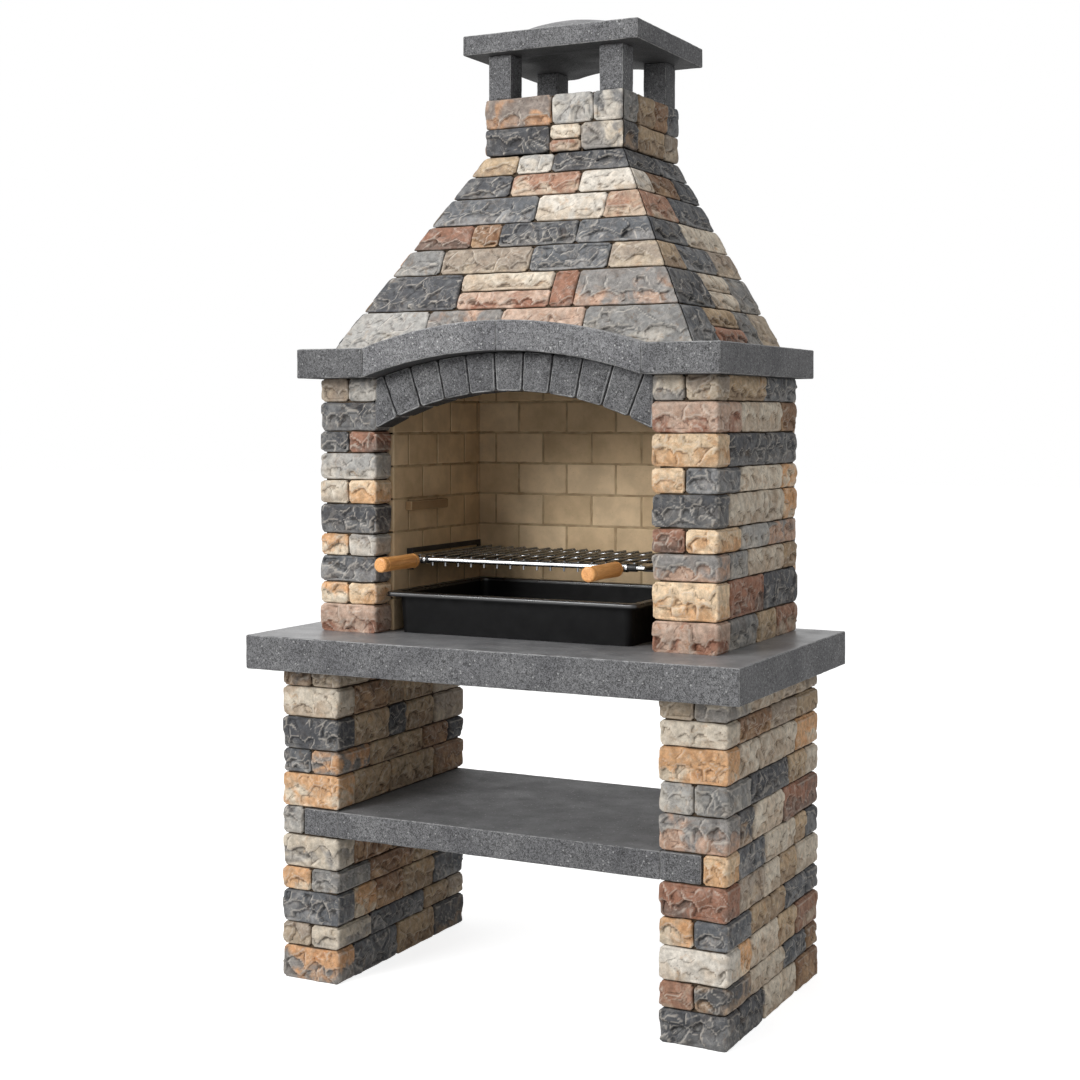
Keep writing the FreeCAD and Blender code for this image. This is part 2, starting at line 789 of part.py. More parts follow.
def make_arch():
    """Wedge stones between the piers: a segmental soffit below, the mantel's curve above, radial joints."""
    reach = (pier_front, pier_front + d.voussoir_depth)
    spring = mantel_under - d.arch_spring_drop
    blank = box("arch_blank", (-pier_inner, pier_inner), reach, (spring, mantel_under + d.mantel_arch_rise))
    back_half = pier_inner - d.mantel_arch_inset
    back = arc_rod("arch_back", back_half, d.mantel_arch_rise, mantel_under, reach, d.arch_bed_gap)
    soffit = arc_rod("arch_soffit", pier_inner, d.arch_rise, spring, reach)
    band = boolean("Cut", "arch_band", boolean("Common", "arch_under_mantel", blank, back), soffit)
    half, rise = float(pier_inner), float(d.arch_rise)
    radius = (half ** 2 + rise ** 2) / (2 * rise)
    opening = math.asin(half / radius)
    centre = Vector(0, float(pier_front), float(spring) + rise - radius)
    count = round(float(d.voussoir_count))
    joint = float(d.voussoir_joint)
    plates = []
    for index in range(1, count):
        plate = Part.makeBox(joint, float(d.voussoir_depth), 2 * radius, Vector(-joint / 2, 0, 0))
        angle = math.degrees(opening) * (2 * index / count - 1)
        plate.Placement = Placement(centre, Rotation(Vector(0, 1, 0), angle))
        plates.append(plate)
    piece(boolean("Cut", "arch_voussoirs", band, feature("arch_joints", Part.makeCompound(plates))))


# Hood, chimney and cap

def make_shell(name, foot, height, low, high, rows, stone_depth, thickness):
    """A hollow tapering ring of four mitred panels with stones set in their outer faces."""
    walls = four_walls(foot, height, low, high, 1)
    stones = {}
    for word, wall in walls.items():
        stones[word] = wall_stones(wall, foot, foot + height, rows[word], stone_depth)
        rings = []
        for depth in (float(d.mortar_recess), thickness):
            places = ((0, foot), (1, foot), (1, foot + height), (0, foot + height))
            rings.append([wall.point(wall.end(end, level, depth), level, depth) for end, level in places])
        blanks = [blank for dressed, blank in stones[word]]
        pockets = feature(f"{name}_{word}_pockets", Part.makeCompound(blanks))
        panel = feature(f"{name}_{word}_panel", polyhedron(rings))
        piece(boolean("Cut", f"{name}_{word}_core", panel, pockets))
    return {word: [dressed for dressed, blank in laid] for word, laid in stones.items()}


def make_hood_and_chimney():
    half_low = float(pier_outer + d.mantel_side_overhang - d.hood_side_setback)
    half_high = float(d.chimney_width) / 2
    rear = float(back_plane)
    low = (-half_low, half_low, float(pier_front - d.mantel_front_overhang + d.mantel_lip_depth), rear)
    high = (-half_high, half_high, rear - float(d.chimney_depth), rear)
    rows = {"front": HOOD_FRONT, "rear": mirrored_rows(HOOD_FRONT), "right": HOOD_SIDE,
            "left": mirrored_rows(HOOD_SIDE)}
    foot, height = float(mantel_top), float(d.hood_height)
    for word, stones in make_shell("hood", foot, height, low, high, rows, d.hood_stone_depth,
                                   float(d.hood_wall)).items():
        piece(feature(f"hood_{word}_stones", Part.makeCompound(stones)))
    rows = {"front": CHIMNEY_FRONT, "rear": mirrored_rows(CHIMNEY_FRONT), "right": CHIMNEY_SIDE,
            "left": mirrored_rows(CHIMNEY_SIDE)}
    stones = make_shell("chimney", foot + height, float(d.chimney_height), high, high, rows,
                        d.chimney_stone_depth, float(d.chimney_wall))
    piece(feature("chimney_stones", Part.makeCompound(sum(stones.values(), []))))


def make_cap():
    """Four posts and a cast cap, domed on top and vaulted below between the posts."""
    chimney_top = mantel_top + d.hood_height + d.chimney_height
    chimney_front = back_plane - d.chimney_depth
    half = d.chimney_width / 2
    post_outer = half - d.cap_post_inset
    post_inner = post_outer - d.cap_post_width
    front_post = (chimney_front + d.cap_post_inset, chimney_front + d.cap_post_inset + d.cap_post_depth)
    rear_post = (back_plane - d.cap_post_inset - d.cap_post_depth, back_plane - d.cap_post_inset)
    under = chimney_top + d.cap_post_height
    for side, word in ((-1, "left"), (1, "right")):
        across = span(side, post_inner, post_outer)
        piece(box(f"cap_post_front_{word}", across, front_post, (chimney_top, under)))
        piece(box(f"cap_post_rear_{word}", across, rear_post, (chimney_top, under)))
    outer = half + d.cap_side_overhang
    top = under + d.cap_thickness
    depth = (chimney_front - d.cap_front_overhang, back_plane + d.cap_rear_overhang)
    plate = slab("cap_plate", (-outer, outer), depth, (under, top))
    rise = d.cap_dome_rise
    ball_radius = (d.cap_dome_radius * d.cap_dome_radius + rise * rise) / (rise * 2)
    ball = doc.addObject("Part::Sphere", "cap_ball")
    middle = (depth[0] + depth[1]) / 2
    bind(ball, Radius=ball_radius, x=0, y=middle, z=top + rise - ball_radius)
    bound = box("cap_dome_bound", (-outer, outer), depth, (top, top + rise))
    dome = boolean("Common", "cap_dome", ball, bound)
    vault = arc_rod("cap_vault", post_inner, d.cap_vault_rise, under, (front_post[1], depth[1]))
    piece(boolean("Cut", "chimney_cap", fused("cap_domed", [plate, dome]), vault))


# Grill and its rails

rail_top = d.worktop_height + d.rail_height
rail_front = lining_front + d.rail_setback
bar_radius = d.bar_diameter / 2
bar_level = rail_top + d.grill_seat_gap + bar_radius
bar_front = rail_front - d.rail_steel - d.grill_front_gap - bar_radius
wire_level = bar_level + bar_radius + d.wire_gap + d.wire_diameter / 2
side_rod = d.grill_width / 2


def make_rails():
    """Steel rails on the side walls: a flange that carries the grill, a strip above it and a front plate."""
    rail_rear = rail_front + d.rail_length
    web_top = rail_top + d.rail_web
    strip_foot = web_top - d.rail_strip
    for side, word in ((-1, "left"), (1, "right")):
        depth = (rail_front, rail_rear)
        flange = box(f"{word}_rail_flange", span(side, lining_face - d.rail_flange, lining_face), depth,
                     (rail_top - d.rail_steel, rail_top))
        web = span(side, lining_face - d.rail_steel, lining_face)
        strip = box(f"{word}_rail_strip", web, depth, (strip_foot, web_top))
        upright = (rail_top, strip_foot)
        front_upright = box(f"{word}_rail_front", web, (rail_front, rail_front + d.rail_strip), upright)
        rear_upright = box(f"{word}_rail_rear", web, (rail_rear - d.rail_strip, rail_rear), upright)
        plate = box(f"{word}_rail_plate", span(side, lining_face - d.rail_plate_width, lining_face),
                    (rail_front - d.rail_steel, rail_front), (rail_top - d.rail_plate_drop, web_top))
        piece(fused(f"{word}_grill_rail", [flange, strip, front_upright, rear_upright, plate]))


def hooked_wire(x, front, rear, level):
    """A wire between the front and the rear bar, with each end bent down close to its bar."""
    bend = float(d.wire_bend)
    corner = bend * (1 - math.sqrt(0.5))
    stand = float(bar_radius + d.wire_gap + d.wire_diameter / 2)
    near, far = front + stand, rear - stand
    foot = float(bar_level - d.wire_drop)
    low = level - bend
    path = [
        Part.LineSegment(Vector(x, near, foot), Vector(x, near, low)),
        Part.Arc(Vector(x, near, low), Vector(x, near + corner, level - corner), Vector(x, near + bend, level)),
        Part.LineSegment(Vector(x, near + bend, level), Vector(x, far - bend, level)),
        Part.Arc(Vector(x, far - bend, level), Vector(x, far - corner, level - corner), Vector(x, far, low)),
        Part.LineSegment(Vector(x, far, low), Vector(x, far, foot)),
    ]
    spine = Part.Wire([curve.toShape() for curve in path])
    ring = Part.makeCircle(float(d.wire_diameter) / 2, Vector(x, near, foot), Vector(0, 0, 1))
    return spine.makePipeShell([Part.Wire(ring)], True, False)


def make_grill():
    centre = -d.grill_shift
    rear = bar_front + d.grill_depth
    bar_length = d.grill_width + d.bar_overhang * 2
    bar_start = centre - bar_length / 2
    piece(rod("grill_front_bar", AXIS_X, bar_radius, bar_length, bar_start, bar_front, bar_level))
    piece(rod("grill_rear_bar", AXIS_X, bar_radius, bar_length, bar_start, rear, bar_level))
    rods = []
    for side, word in ((-1, "left"), (1, "right")):
        rods.append(rod(f"grill_{word}_rod", AXIS_Y, bar_radius, d.grill_depth - d.bar_diameter,
                        centre + side_rod * side, bar_front + bar_radius, bar_level))
    piece(group("grill_side_rods", rods))
    cross_radius = d.cross_rod_diameter / 2
    cross_level = bar_level + bar_radius + d.wire_gap - cross_radius
    count = round(float(d.cross_rod_count))
    first = bar_front + d.cross_rod_setback
    pitch = (rear - d.cross_rod_setback - first) / (count - 1)
    start = centre - side_rod + bar_radius
    length = d.grill_width - d.bar_diameter
    crosses = []
    for index in range(count):
        name = f"grill_cross_rod_{index + 1}"
        crosses.append(rod(name, AXIS_X, cross_radius, length, start, first + pitch * index, cross_level))
    piece(group("grill_cross_rods", crosses))
    make_wires(float(centre), float(bar_front), float(rear))


def make_wires(centre, front, rear):
    """Wires between the bars with their ends bent down, and a plain one outside each handle."""
    count = round(float(d.wire_count))
    level = float(wire_level)
    zone = float(side_rod - d.wire_inset) * 2
    places = [centre + zone * (index / (count - 1) - 0.5) for index in range(count)]
    wires = [hooked_wire(x, front, rear, level) for x in places]
    start = front + float(d.collar_diameter / 2 + d.collar_gap)
    length = rear + float(bar_radius) - start
    outer = float(side_rod - d.wire_side_gap)
    for x in (centre - outer, centre + outer):
        foot = Vector(x, start, level)
        wires.append(Part.makeCylinder(float(d.wire_diameter) / 2, length, foot, Vector(0, 1, 0)))
    piece(feature("grill_wires", Part.makeCompound(wires)))


# Handles

def make_handle(side, word):
    """A turned grip on a tang whose eye turns on the front bar, with a tail under the first cross rod."""
    x = (side_rod - d.handle_inset) * side - d.grill_shift
    eye_radius = d.eye_diameter / 2
    width = d.eye_width
    ring = rod(f"{word}_eye_ring", AXIS_X, eye_radius, width, x - width / 2, bar_front, bar_level)
    bore = rod(f"{word}_eye_bore", AXIS_X, bar_radius + d.eye_gap, width, x - width / 2, bar_front, bar_level)
    grip_rear = bar_front - d.grip_setback
    tang_front = grip_rear - d.tang_reach
    tang = rod(f"{word}_tang", AXIS_Y, d.tang_diameter / 2, bar_front - tang_front, x, tang_front, bar_level)
    rod_under = bar_level + bar_radius + d.wire_gap - d.cross_rod_diameter
    tail_top = rod_under - d.eye_gap
    tail = box(f"{word}_tail", (x - d.tail_width / 2, x + d.tail_width / 2),
               (bar_front, bar_front + d.tail_length), (tail_top - d.tail_thickness, tail_top))
    blank = fused(f"{word}_handle_blank", [ring, tang, tail])
    piece(boolean("Cut", f"{word}_handle_tang", blank, bore))
    body = doc.addObject("PartDesign::Body", f"{word}_handle_grip")
    turned = pad(body, disc(body, f"{word}_grip_outline", d.grip_diameter), d.grip_length)
    softened = rounded(body, turned, lambda edge: True, d.grip_round)
    doc.recompute()
    before = softened.Shape.Volume
    hole = pocket(body, disc(body, f"{word}_grip_bore", d.tang_diameter + d.tang_gap * 2), d.tang_reach)
    hole.Reversed = True
    doc.recompute()
    if hole.Shape.Volume >= before:
        raise ValueError(f"{word} grip has no bore")
    bind(body, x=x, y=grip_rear, z=bar_level)
    piece(body)
    return x


def make_collars(handles):
    """Black collars on the front bar, on both sides of each handle's eye."""
    collars = []
    for side, x in handles:
        half = d.eye_width / 2 + d.collar_gap
        widths = (("outer", d.outer_collar_width, side), ("inner", d.inner_collar_width, -side))
        for word, width, sign in widths:
            start = x + half if sign > 0 else x - half - width
            name = f"collar_{word}_{'right' if side > 0 else 'left'}"
            tube = rod(f"{name}_tube", AXIS_X, d.collar_diameter / 2, width, start, bar_front, bar_level)
            bore = rod(f"{name}_bore", AXIS_X, bar_radius, width, start, bar_front, bar_level)
            collars.append(boolean("Cut", name, tube, bore))
    piece(group("bar_collars", collars))


# Ember tray

def make_tray():
    """A pan with sloping sides and a thick rounded rim, resting on the worktop."""
    body = doc.addObject("PartDesign::Body", "ember_tray")
    flare = math.degrees(math.atan2(float(d.tray_flare), float(d.tray_height)))
    slope = Size("atan(dims.tray_flare / dims.tray_height)", flare)
    width = (lining_face - d.tray_side_gap) * 2
    depth = d.tray_depth
    base_inset = (d.tray_rim_width + d.tray_flare) * 2
    base = rounded_rectangle(body, "tray_base", width - base_inset, depth - base_inset, d.tray_corner)
    pad(body, base, d.tray_height, TaperAngle=slope)
    mouth_corner = d.tray_corner + d.tray_flare
    rim_foot = d.tray_height - d.tray_rim_thickness
    rim = rounded_rectangle(body, "tray_rim", width, depth, d.tray_rim_corner, rim_foot)
    lip = pad(body, rim, d.tray_rim_thickness)
    doc.recompute()
    before = lip.Shape.Volume
    inset = (d.tray_rim_width + d.tray_wall) * 2
    mouth = rounded_rectangle(body, "tray_mouth", width - inset, depth - inset,
                              mouth_corner - d.tray_wall, d.tray_height)
    hollow = pocket(body, mouth, d.tray_height - d.tray_wall, TaperAngle=-slope)
    doc.recompute()
    if hollow.Shape.Volume >= before:
        raise ValueError("the tray has no hollow")
    rim_level = float(d.tray_height) - TINY
    rounded(body, hollow, lambda edge: edge.BoundBox.ZMin > rim_level, d.tray_rim_round)
    rear = lining_rear - d.tray_rear_gap
    bind(body, x=-d.tray_shift, y=rear - depth / 2, z=d.worktop_height)
    piece(body)


def write_parts():
    doc.recompute()
    for item in doc.Objects:
        if "Invalid" in item.State or "Error" in item.State:
            raise ValueError(f"{item.Label} failed: {item.State}")
    os.makedirs("parts", exist_ok=True)
    for item in pieces:
        if item.Shape.isNull() or not item.Shape.isValid() or not item.Shape.Solids:
            raise ValueError(f"{item.Label} has no valid solid")
        item.Shape.exportStep(f"parts/{item.Label}.step")
    print(len(pieces), "sub-parts,", sum(len(item.Shape.Solids) for item in pieces), "solids")


make_worktop()
shelf_slab, shelf_blocks = make_shelf()
make_leg(-1, "left", LEFT_LEG_LOW, LEFT_LEG_HIGH, shelf_slab, shelf_blocks[-1])
make_leg(1, "right", RIGHT_LEG_LOW, RIGHT_LEG_HIGH, shelf_slab, shelf_blocks[1])
make_pier(-1, "left", LEFT_PIER)
make_pier(1, "right", RIGHT_PIER)
make_rear_wall()
make_lining()
make_mantel()
make_arch()
make_hood_and_chimney()
make_cap()
make_rails()
make_grill()
make_collars([(-1, make_handle(-1, "left")), (1, make_handle(1, "right"))])
make_tray()
write_parts()
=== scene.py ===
import math

import bpy
import numpy as np
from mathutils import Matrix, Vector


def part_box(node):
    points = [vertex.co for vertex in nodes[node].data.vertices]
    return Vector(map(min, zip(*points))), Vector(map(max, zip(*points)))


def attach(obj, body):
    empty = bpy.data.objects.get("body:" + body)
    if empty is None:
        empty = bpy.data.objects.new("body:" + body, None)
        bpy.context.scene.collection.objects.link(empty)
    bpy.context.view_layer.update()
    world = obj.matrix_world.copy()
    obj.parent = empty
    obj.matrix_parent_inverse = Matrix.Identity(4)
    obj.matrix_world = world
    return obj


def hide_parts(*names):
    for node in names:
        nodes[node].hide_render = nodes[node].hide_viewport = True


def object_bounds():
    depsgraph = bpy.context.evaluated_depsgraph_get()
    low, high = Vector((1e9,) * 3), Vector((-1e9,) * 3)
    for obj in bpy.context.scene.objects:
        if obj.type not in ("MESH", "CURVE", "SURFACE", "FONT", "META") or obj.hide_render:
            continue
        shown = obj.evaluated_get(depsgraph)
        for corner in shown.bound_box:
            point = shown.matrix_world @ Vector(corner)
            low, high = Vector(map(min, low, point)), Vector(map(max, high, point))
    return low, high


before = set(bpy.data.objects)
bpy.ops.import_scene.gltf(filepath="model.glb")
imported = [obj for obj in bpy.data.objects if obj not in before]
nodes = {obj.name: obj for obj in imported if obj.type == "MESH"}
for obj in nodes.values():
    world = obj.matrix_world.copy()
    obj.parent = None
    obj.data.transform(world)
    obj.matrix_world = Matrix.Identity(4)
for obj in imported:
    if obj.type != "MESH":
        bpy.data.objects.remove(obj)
cad_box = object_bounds()

# Colours of the stones whose face or end the photo shows. Rows run from the bottom up. Letters run along +X
# on front and rear faces and along +Y on left and right faces. The upper stones of a stacked pair are a row
# of their own.
STONE_LETTERS = {
    ("right_leg", "front"): "K rk W OD R Y g LG O C Uc",
    ("right_leg", "right"): "KC CD OCT TTD UCT DCT kCR KT CCC BU CU",
    ("right_leg", "rear"): "B TB r BD C D R TC O T CU",
    ("left_leg", "front"): "o Uc D OG c G O Do K C kU",
    ("left_leg", "right"): "DT DT OBT BT BTT TT TB TKT BTT BT",
    ("left_leg", "rear"): "k DU D BT U C B UK U C DG",
    ("right_pier", "front"): "P Y g RY K YD Y P cU",
    ("right_pier", "right"): "GTr RK GCT Lg CO CO KK PCB TD",
    ("left_pier", "front"): "P OY D OL K CY L KR K UG",
    ("hood_front", "front"): "LgPG KPRg C GUDU RBKD DWr KrW TLK",
    ("hood_right", "right"): "DRGU T KCG C TDU KC rD WBD KD",
    ("chimney", "front"): "Krc C qLv",
    ("chimney", "right"): "kTU GTBD",
}

# Faces whose stones are paler than their letters say, and by what factor: painted light on these sides.
PAINTED_LIGHT_FACES = {("right_leg", "right"): 1.17, ("right_pier", "right"): 1.13}

# The other stones draw one of these letters each. A common letter stands here more than once.
HIDDEN_LETTERS = "KDDGGgLWCCCTTcUUYOORrPBBko"

# Each letter's two tones, as display values from 0 to 255, and how strongly its face is broken.
STONE_TONES = {
    "K": ((80, 81, 84), (112, 112, 112), 1.25),
    "k": ((88, 88, 89), (156, 136, 116), 1.15),
    "D": ((97, 99, 102), (134, 134, 134), 1.2),
    "G": ((130, 129, 127), (164, 160, 153), 1.05),
    "g": ((138, 135, 132), (184, 154, 134), 1.05),
    "L": ((166, 164, 160), (192, 186, 176), 0.9),
    "W": ((209, 202, 191), (195, 182, 165), 0.75),
    "C": ((205, 194, 177), (182, 166, 147), 0.85),
    "c": ((196, 185, 168), (144, 140, 135), 0.95),
    "T": ((182, 160, 132), (156, 136, 114), 0.95),
    "U": ((156, 143, 129), (182, 167, 147), 1.0),
    "Y": ((222, 197, 165), (205, 165, 125), 0.85),
    "O": ((206, 163, 122), (211, 196, 174), 0.9),
    "o": ((196, 153, 115), (130, 126, 122), 1.0),
    "q": ((142, 131, 123), (192, 150, 116), 1.0),
    "v": ((116, 116, 116), (184, 178, 168), 1.0),
    "R": ((151, 112, 93), (122, 103, 93), 1.05),
    "r": ((158, 122, 102), (186, 167, 147), 1.0),
    "P": ((192, 166, 148), (154, 113, 94), 1.0),
    "B": ((138, 110, 88), (168, 139, 110), 1.0),
}

# Sizes are in metres.
MILLIMETRE = 0.001
GROUND = float(cad_box[0][2])

# Where a mesh has extra lines beside an edge, as shares of the edge's reach.
NEAR_EDGE = np.array((0.0, 0.3, 0.65))

# Each piece's noise has its own shift and seed, drawn from 0 to these.
SHIFT_REACH = 200
SEED_REACH = 50

# Factors that turn edge_share into 1 in the middle of a straight edge, and into wear and painted highlight.
STRAIGHT_EDGE = 3.4
EDGE_WEAR_AND_HIGHLIGHT = 3

# The extra mesh lines beside an edge take up at most this share of a side.
MOST_REACH = 0.3


# Helpers: noise and meshes

generator = np.random.default_rng(11)
HASHES = np.tile(generator.permutation(256), 3)
DIRECTIONS = generator.normal(size=(256, 3))
DIRECTIONS /= np.linalg.norm(DIRECTIONS, axis=1, keepdims=True)


def linear(tone):
    """Scene colour of a display colour given from 0 to 255."""
    share = np.array(tone) / 255
    return np.where(share <= 0.04045, share / 12.92, ((share + 0.055) / 1.055) ** 2.4)


def noise(points):
    """Smooth noise from about -1 to 1 at rows of points."""
    cell = np.floor(points).astype(int)
    part = points - cell
    fade = part ** 3 * (part * (part * 6 - 15) + 10)
    total = np.zeros(len(points))
    for corner in np.ndindex(2, 2, 2):
        spot = (cell + corner) & 255
        hashed = HASHES[HASHES[HASHES[spot[:, 0]] + spot[:, 1]] + spot[:, 2]]
        slope = ((part - corner) * DIRECTIONS[hashed]).sum(1)
        total += slope * np.prod(np.where(corner, fade, 1 - fade), axis=1)
    return total * 1.6


def step(values, low, high):
    """Smooth rise from 0 at low to 1 at high."""
    share = np.clip((values - low) / (high - low), 0, 1)
    return share * share * (3 - 2 * share)


def node_box(node):
    """Lowest and highest corner of a CAD node."""
    low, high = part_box(node)
    return np.array(low), np.array(high)


def ticks(length, cell, edge):
    """Places along a side: close together near both ends and even between."""
    near = NEAR_EDGE * edge
    middle = np.linspace(edge, length - edge, max(2, round((length - 2 * edge) / cell) + 1))
    return np.concatenate((near, middle, length - near[::-1]))


def lattice(axes):
    """Surface points and outward quads of a box that is divided at the given places along each axis."""
    counts = [len(axis) for axis in axes]
    shell = np.ones(counts, bool)
    shell[1:-1, 1:-1, 1:-1] = False
    index = np.full(counts, -1)
    index[shell] = np.arange(shell.sum())
    grid = np.stack(np.meshgrid(*axes, indexing="ij"), -1)
    quads = []
    for axis in range(3):
        for end in (0, -1):
            face = index.take(end, axis=axis)
            ring = (face[:-1, :-1], face[1:, :-1], face[1:, 1:], face[:-1, 1:])
            flat = np.stack(ring, -1).reshape(-1, 4)
            quads.append(flat if (end == -1) != (axis == 1) else flat[:, ::-1])
    return grid[shell], np.concatenate(quads)


def round_box(points, size, radius):
    """Points on a box moved onto one with round edges, and their normals."""
    inner = np.clip(points, radius, np.maximum(size - radius, radius))
    out = points - inner
    normals = out / np.maximum(np.linalg.norm(out, axis=1, keepdims=True), 1e-9)
    return inner + normals * radius, normals


def edge_share(normals):
    """How near points are to an edge, from the normals of a box with round edges: 0 on its faces."""
    return 1 - np.max(np.abs(normals), axis=1)


def within(corners, shares):
    """Places in a six-sided block, from its corners[along][up][inward] and shares from 0 to 1."""
    total = np.zeros((len(shares), 3))
    for corner in np.ndindex(2, 2, 2):
        total += np.prod(np.where(corner, shares, 1 - shares), axis=1)[:, None] * corners[corner]
    return total


def block_size(corners):
    """Mean length, height and depth of a six-sided block."""
    spans = [corners.take(1, axis) - corners.take(0, axis) for axis in range(3)]
    return np.array([np.linalg.norm(span, axis=-1).mean() for span in spans])


def mirrored(corners):
    """Whether a six-sided block is left-handed, which turns its quads inside out."""
    sides = corners[1, 1, 1] - np.stack((corners[0, 1, 1], corners[1, 0, 1], corners[1, 1, 0]))
    return np.linalg.det(sides) < 0


def bends(points, quads):
    """How each point lies against its neighbours, in metres: above 0 on a ridge and below 0 in a hollow."""
    ends = np.concatenate([quads[:, [0, 1]], quads[:, [1, 2]], quads[:, [2, 3]], quads[:, [3, 0]]])
    ends = np.concatenate([ends, ends[:, ::-1]])
    start, other = ends.T
    count = np.bincount(start, minlength=len(points))[:, None]
    sums = [np.bincount(start, points[other, axis], len(points)) for axis in range(3)]
    mean = np.stack(sums, -1) / np.maximum(count, 1)
    across = np.cross(points[quads[:, 2]] - points[quads[:, 0]], points[quads[:, 3]] - points[quads[:, 1]])
    normals = np.zeros_like(points)
    for corner in range(4):
        np.add.at(normals, quads[:, corner], across)
    normals /= np.maximum(np.linalg.norm(normals, axis=1, keepdims=True), 1e-12)
    return ((points - mean) * normals).sum(1)


def detail_rows(seed, ridge, third=0.0):
    """What a material reads at each point: the piece's seed, its ridge or edge, painted as wear, painted
    highlight and painted shade, and a third value.
    """
    return np.stack(np.broadcast_arrays(seed, ridge, third), -1)


def put(name, data):
    """A new object in the scene."""
    made = bpy.data.objects.new(name, data)
    bpy.context.scene.collection.objects.link(made)
    return made


class Pile:
    """Collects blocks into one mesh."""

    def __init__(self):
        self.points, self.faces, self.extras = [], [], {}
        self.count = 0

    def add(self, points, quads, ends=(), **extras):
        """Adds a block with its quads, and faces of more corners at its ends."""
        self.points.append(points)
        self.faces += (quads + self.count).tolist()
        self.faces += [(ring + self.count).tolist() for ring in ends]
        self.count += len(points)
        for name, value in extras.items():
            rows = np.broadcast_to(np.asarray(value, float), (len(points), 3))
            self.extras.setdefault(name, []).append(rows)

    def build(self, name, body, look, slot, *replaced):
        """Makes one piece of the blocks, on its body and in place of CAD nodes."""
        mesh = bpy.data.meshes.new(name)
        mesh.from_pydata(np.concatenate(self.points).tolist(), [], self.faces)
        mesh.shade_smooth()
        for extra, rows in self.extras.items():
            layer = mesh.attributes.new(extra, "FLOAT_VECTOR", "POINT")
            layer.data.foreach_set("vector", np.concatenate(rows).astype(np.float32).ravel())
        mesh.materials.append(look)
        made = put(name, mesh)
        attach(made, body)
        if replaced:
            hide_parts(*replaced)


# Helpers: materials

class Look:
    """A material and short ways to add nodes to it."""

    def __init__(self, name, **constants):
        self.material = bpy.data.materials.new(name)
        self.material.use_nodes = True
        self.tree = self.material.node_tree
        self.shader = self.tree.nodes["Principled BSDF"]
        for socket, value in constants.items():
            self.shader.inputs[socket.replace("_", " ")].default_value = value
        self.place = self.node("TexCoord", {}).outputs["Object"]
        self.colour = None

    def fill(self, target, value):
        """Sets a socket to a value, or links another socket to it."""
        if isinstance(value, bpy.types.NodeSocket):
            self.tree.links.new(value, target)
        else:
            target.default_value = value

    def node(self, kind, inputs, **settings):
        made = self.tree.nodes.new("ShaderNode" + kind)
        for name, value in settings.items():
            setattr(made, name, value)
        for socket, value in inputs.items():
            self.fill(made.inputs[socket], value)
        return made

    def vector(self, operation, one, two):
        return self.node("VectorMath", {0: one, 1: two}, operation=operation).outputs[0]

    def math(self, operation, one, two=0.0):
        return self.node("Math", {0: one, 1: two}, operation=operation).outputs[0]

    def times(self, one, two):
        return self.math("MULTIPLY", one, two)

    def noise(self, scale, detail=2.0, rough=0.5, distortion=0.0, place=None):
        inputs = {"Scale": scale, "Detail": detail, "Roughness": rough, "Distortion": distortion}
        inputs["Vector"] = self.place if place is None else place
        return self.node("TexNoise", inputs).outputs["Fac"]

    def cells(self, scale, output):
        return self.node("TexVoronoi", {"Vector": self.place, "Scale": scale}).outputs[output]

    def range(self, value, low, high, start=0.0, end=1.0):
        """A smooth change from start, at values up to low, to end, at values from high on."""
        inputs = {0: value, 1: low, 2: high, 3: start, 4: end}
        return self.node("MapRange", inputs, interpolation_type="SMOOTHSTEP").outputs[0]

    def mix(self, share, one, two, blend="MIX"):
        """A mix of two colours, which are sockets or display colours from 0 to 255."""
        made = self.tree.nodes.new("ShaderNodeMix")
        made.data_type = "RGBA"
        made.blend_type = blend
        for socket, value in ((0, share), (6, one), (7, two)):
            if isinstance(value, tuple):
                value = (*linear(value), 1.0)
            self.fill(made.inputs[socket], value)
        return made.outputs[2]

    def attribute(self, name):
        return self.node("Attribute", {}, attribute_name=name).outputs["Vector"]

    def parts(self, vector):
        return self.node("SeparateXYZ", {0: vector}).outputs

    def paint(self, share, tone, blend="MIX"):
        """Lays a tone over the colour."""
        self.colour = self.mix(share, self.colour, tone, blend)

    def tint(self, factor):
        """Makes the colour darker or lighter by a factor."""
        factors = self.node("CombineXYZ", {0: factor, 1: factor, 2: factor}).outputs[0]
        self.paint(1.0, factors, "MULTIPLY")

    def bump(self, height, distance, strength):
        made = self.node("Bump", {"Height": height, "Distance": distance, "Strength": strength})
        self.tree.links.new(made.outputs["Normal"], self.shader.inputs["Normal"])

    def set(self, **sockets):
        """Links values to the shader's sockets."""
        for socket, value in sockets.items():
            self.tree.links.new(value, self.shader.inputs[socket.replace("_", " ")])

    def done(self, rough):
        """The material, with its colour and roughness linked."""
        self.set(Base_Color=self.colour, Roughness=rough)
        return self.material


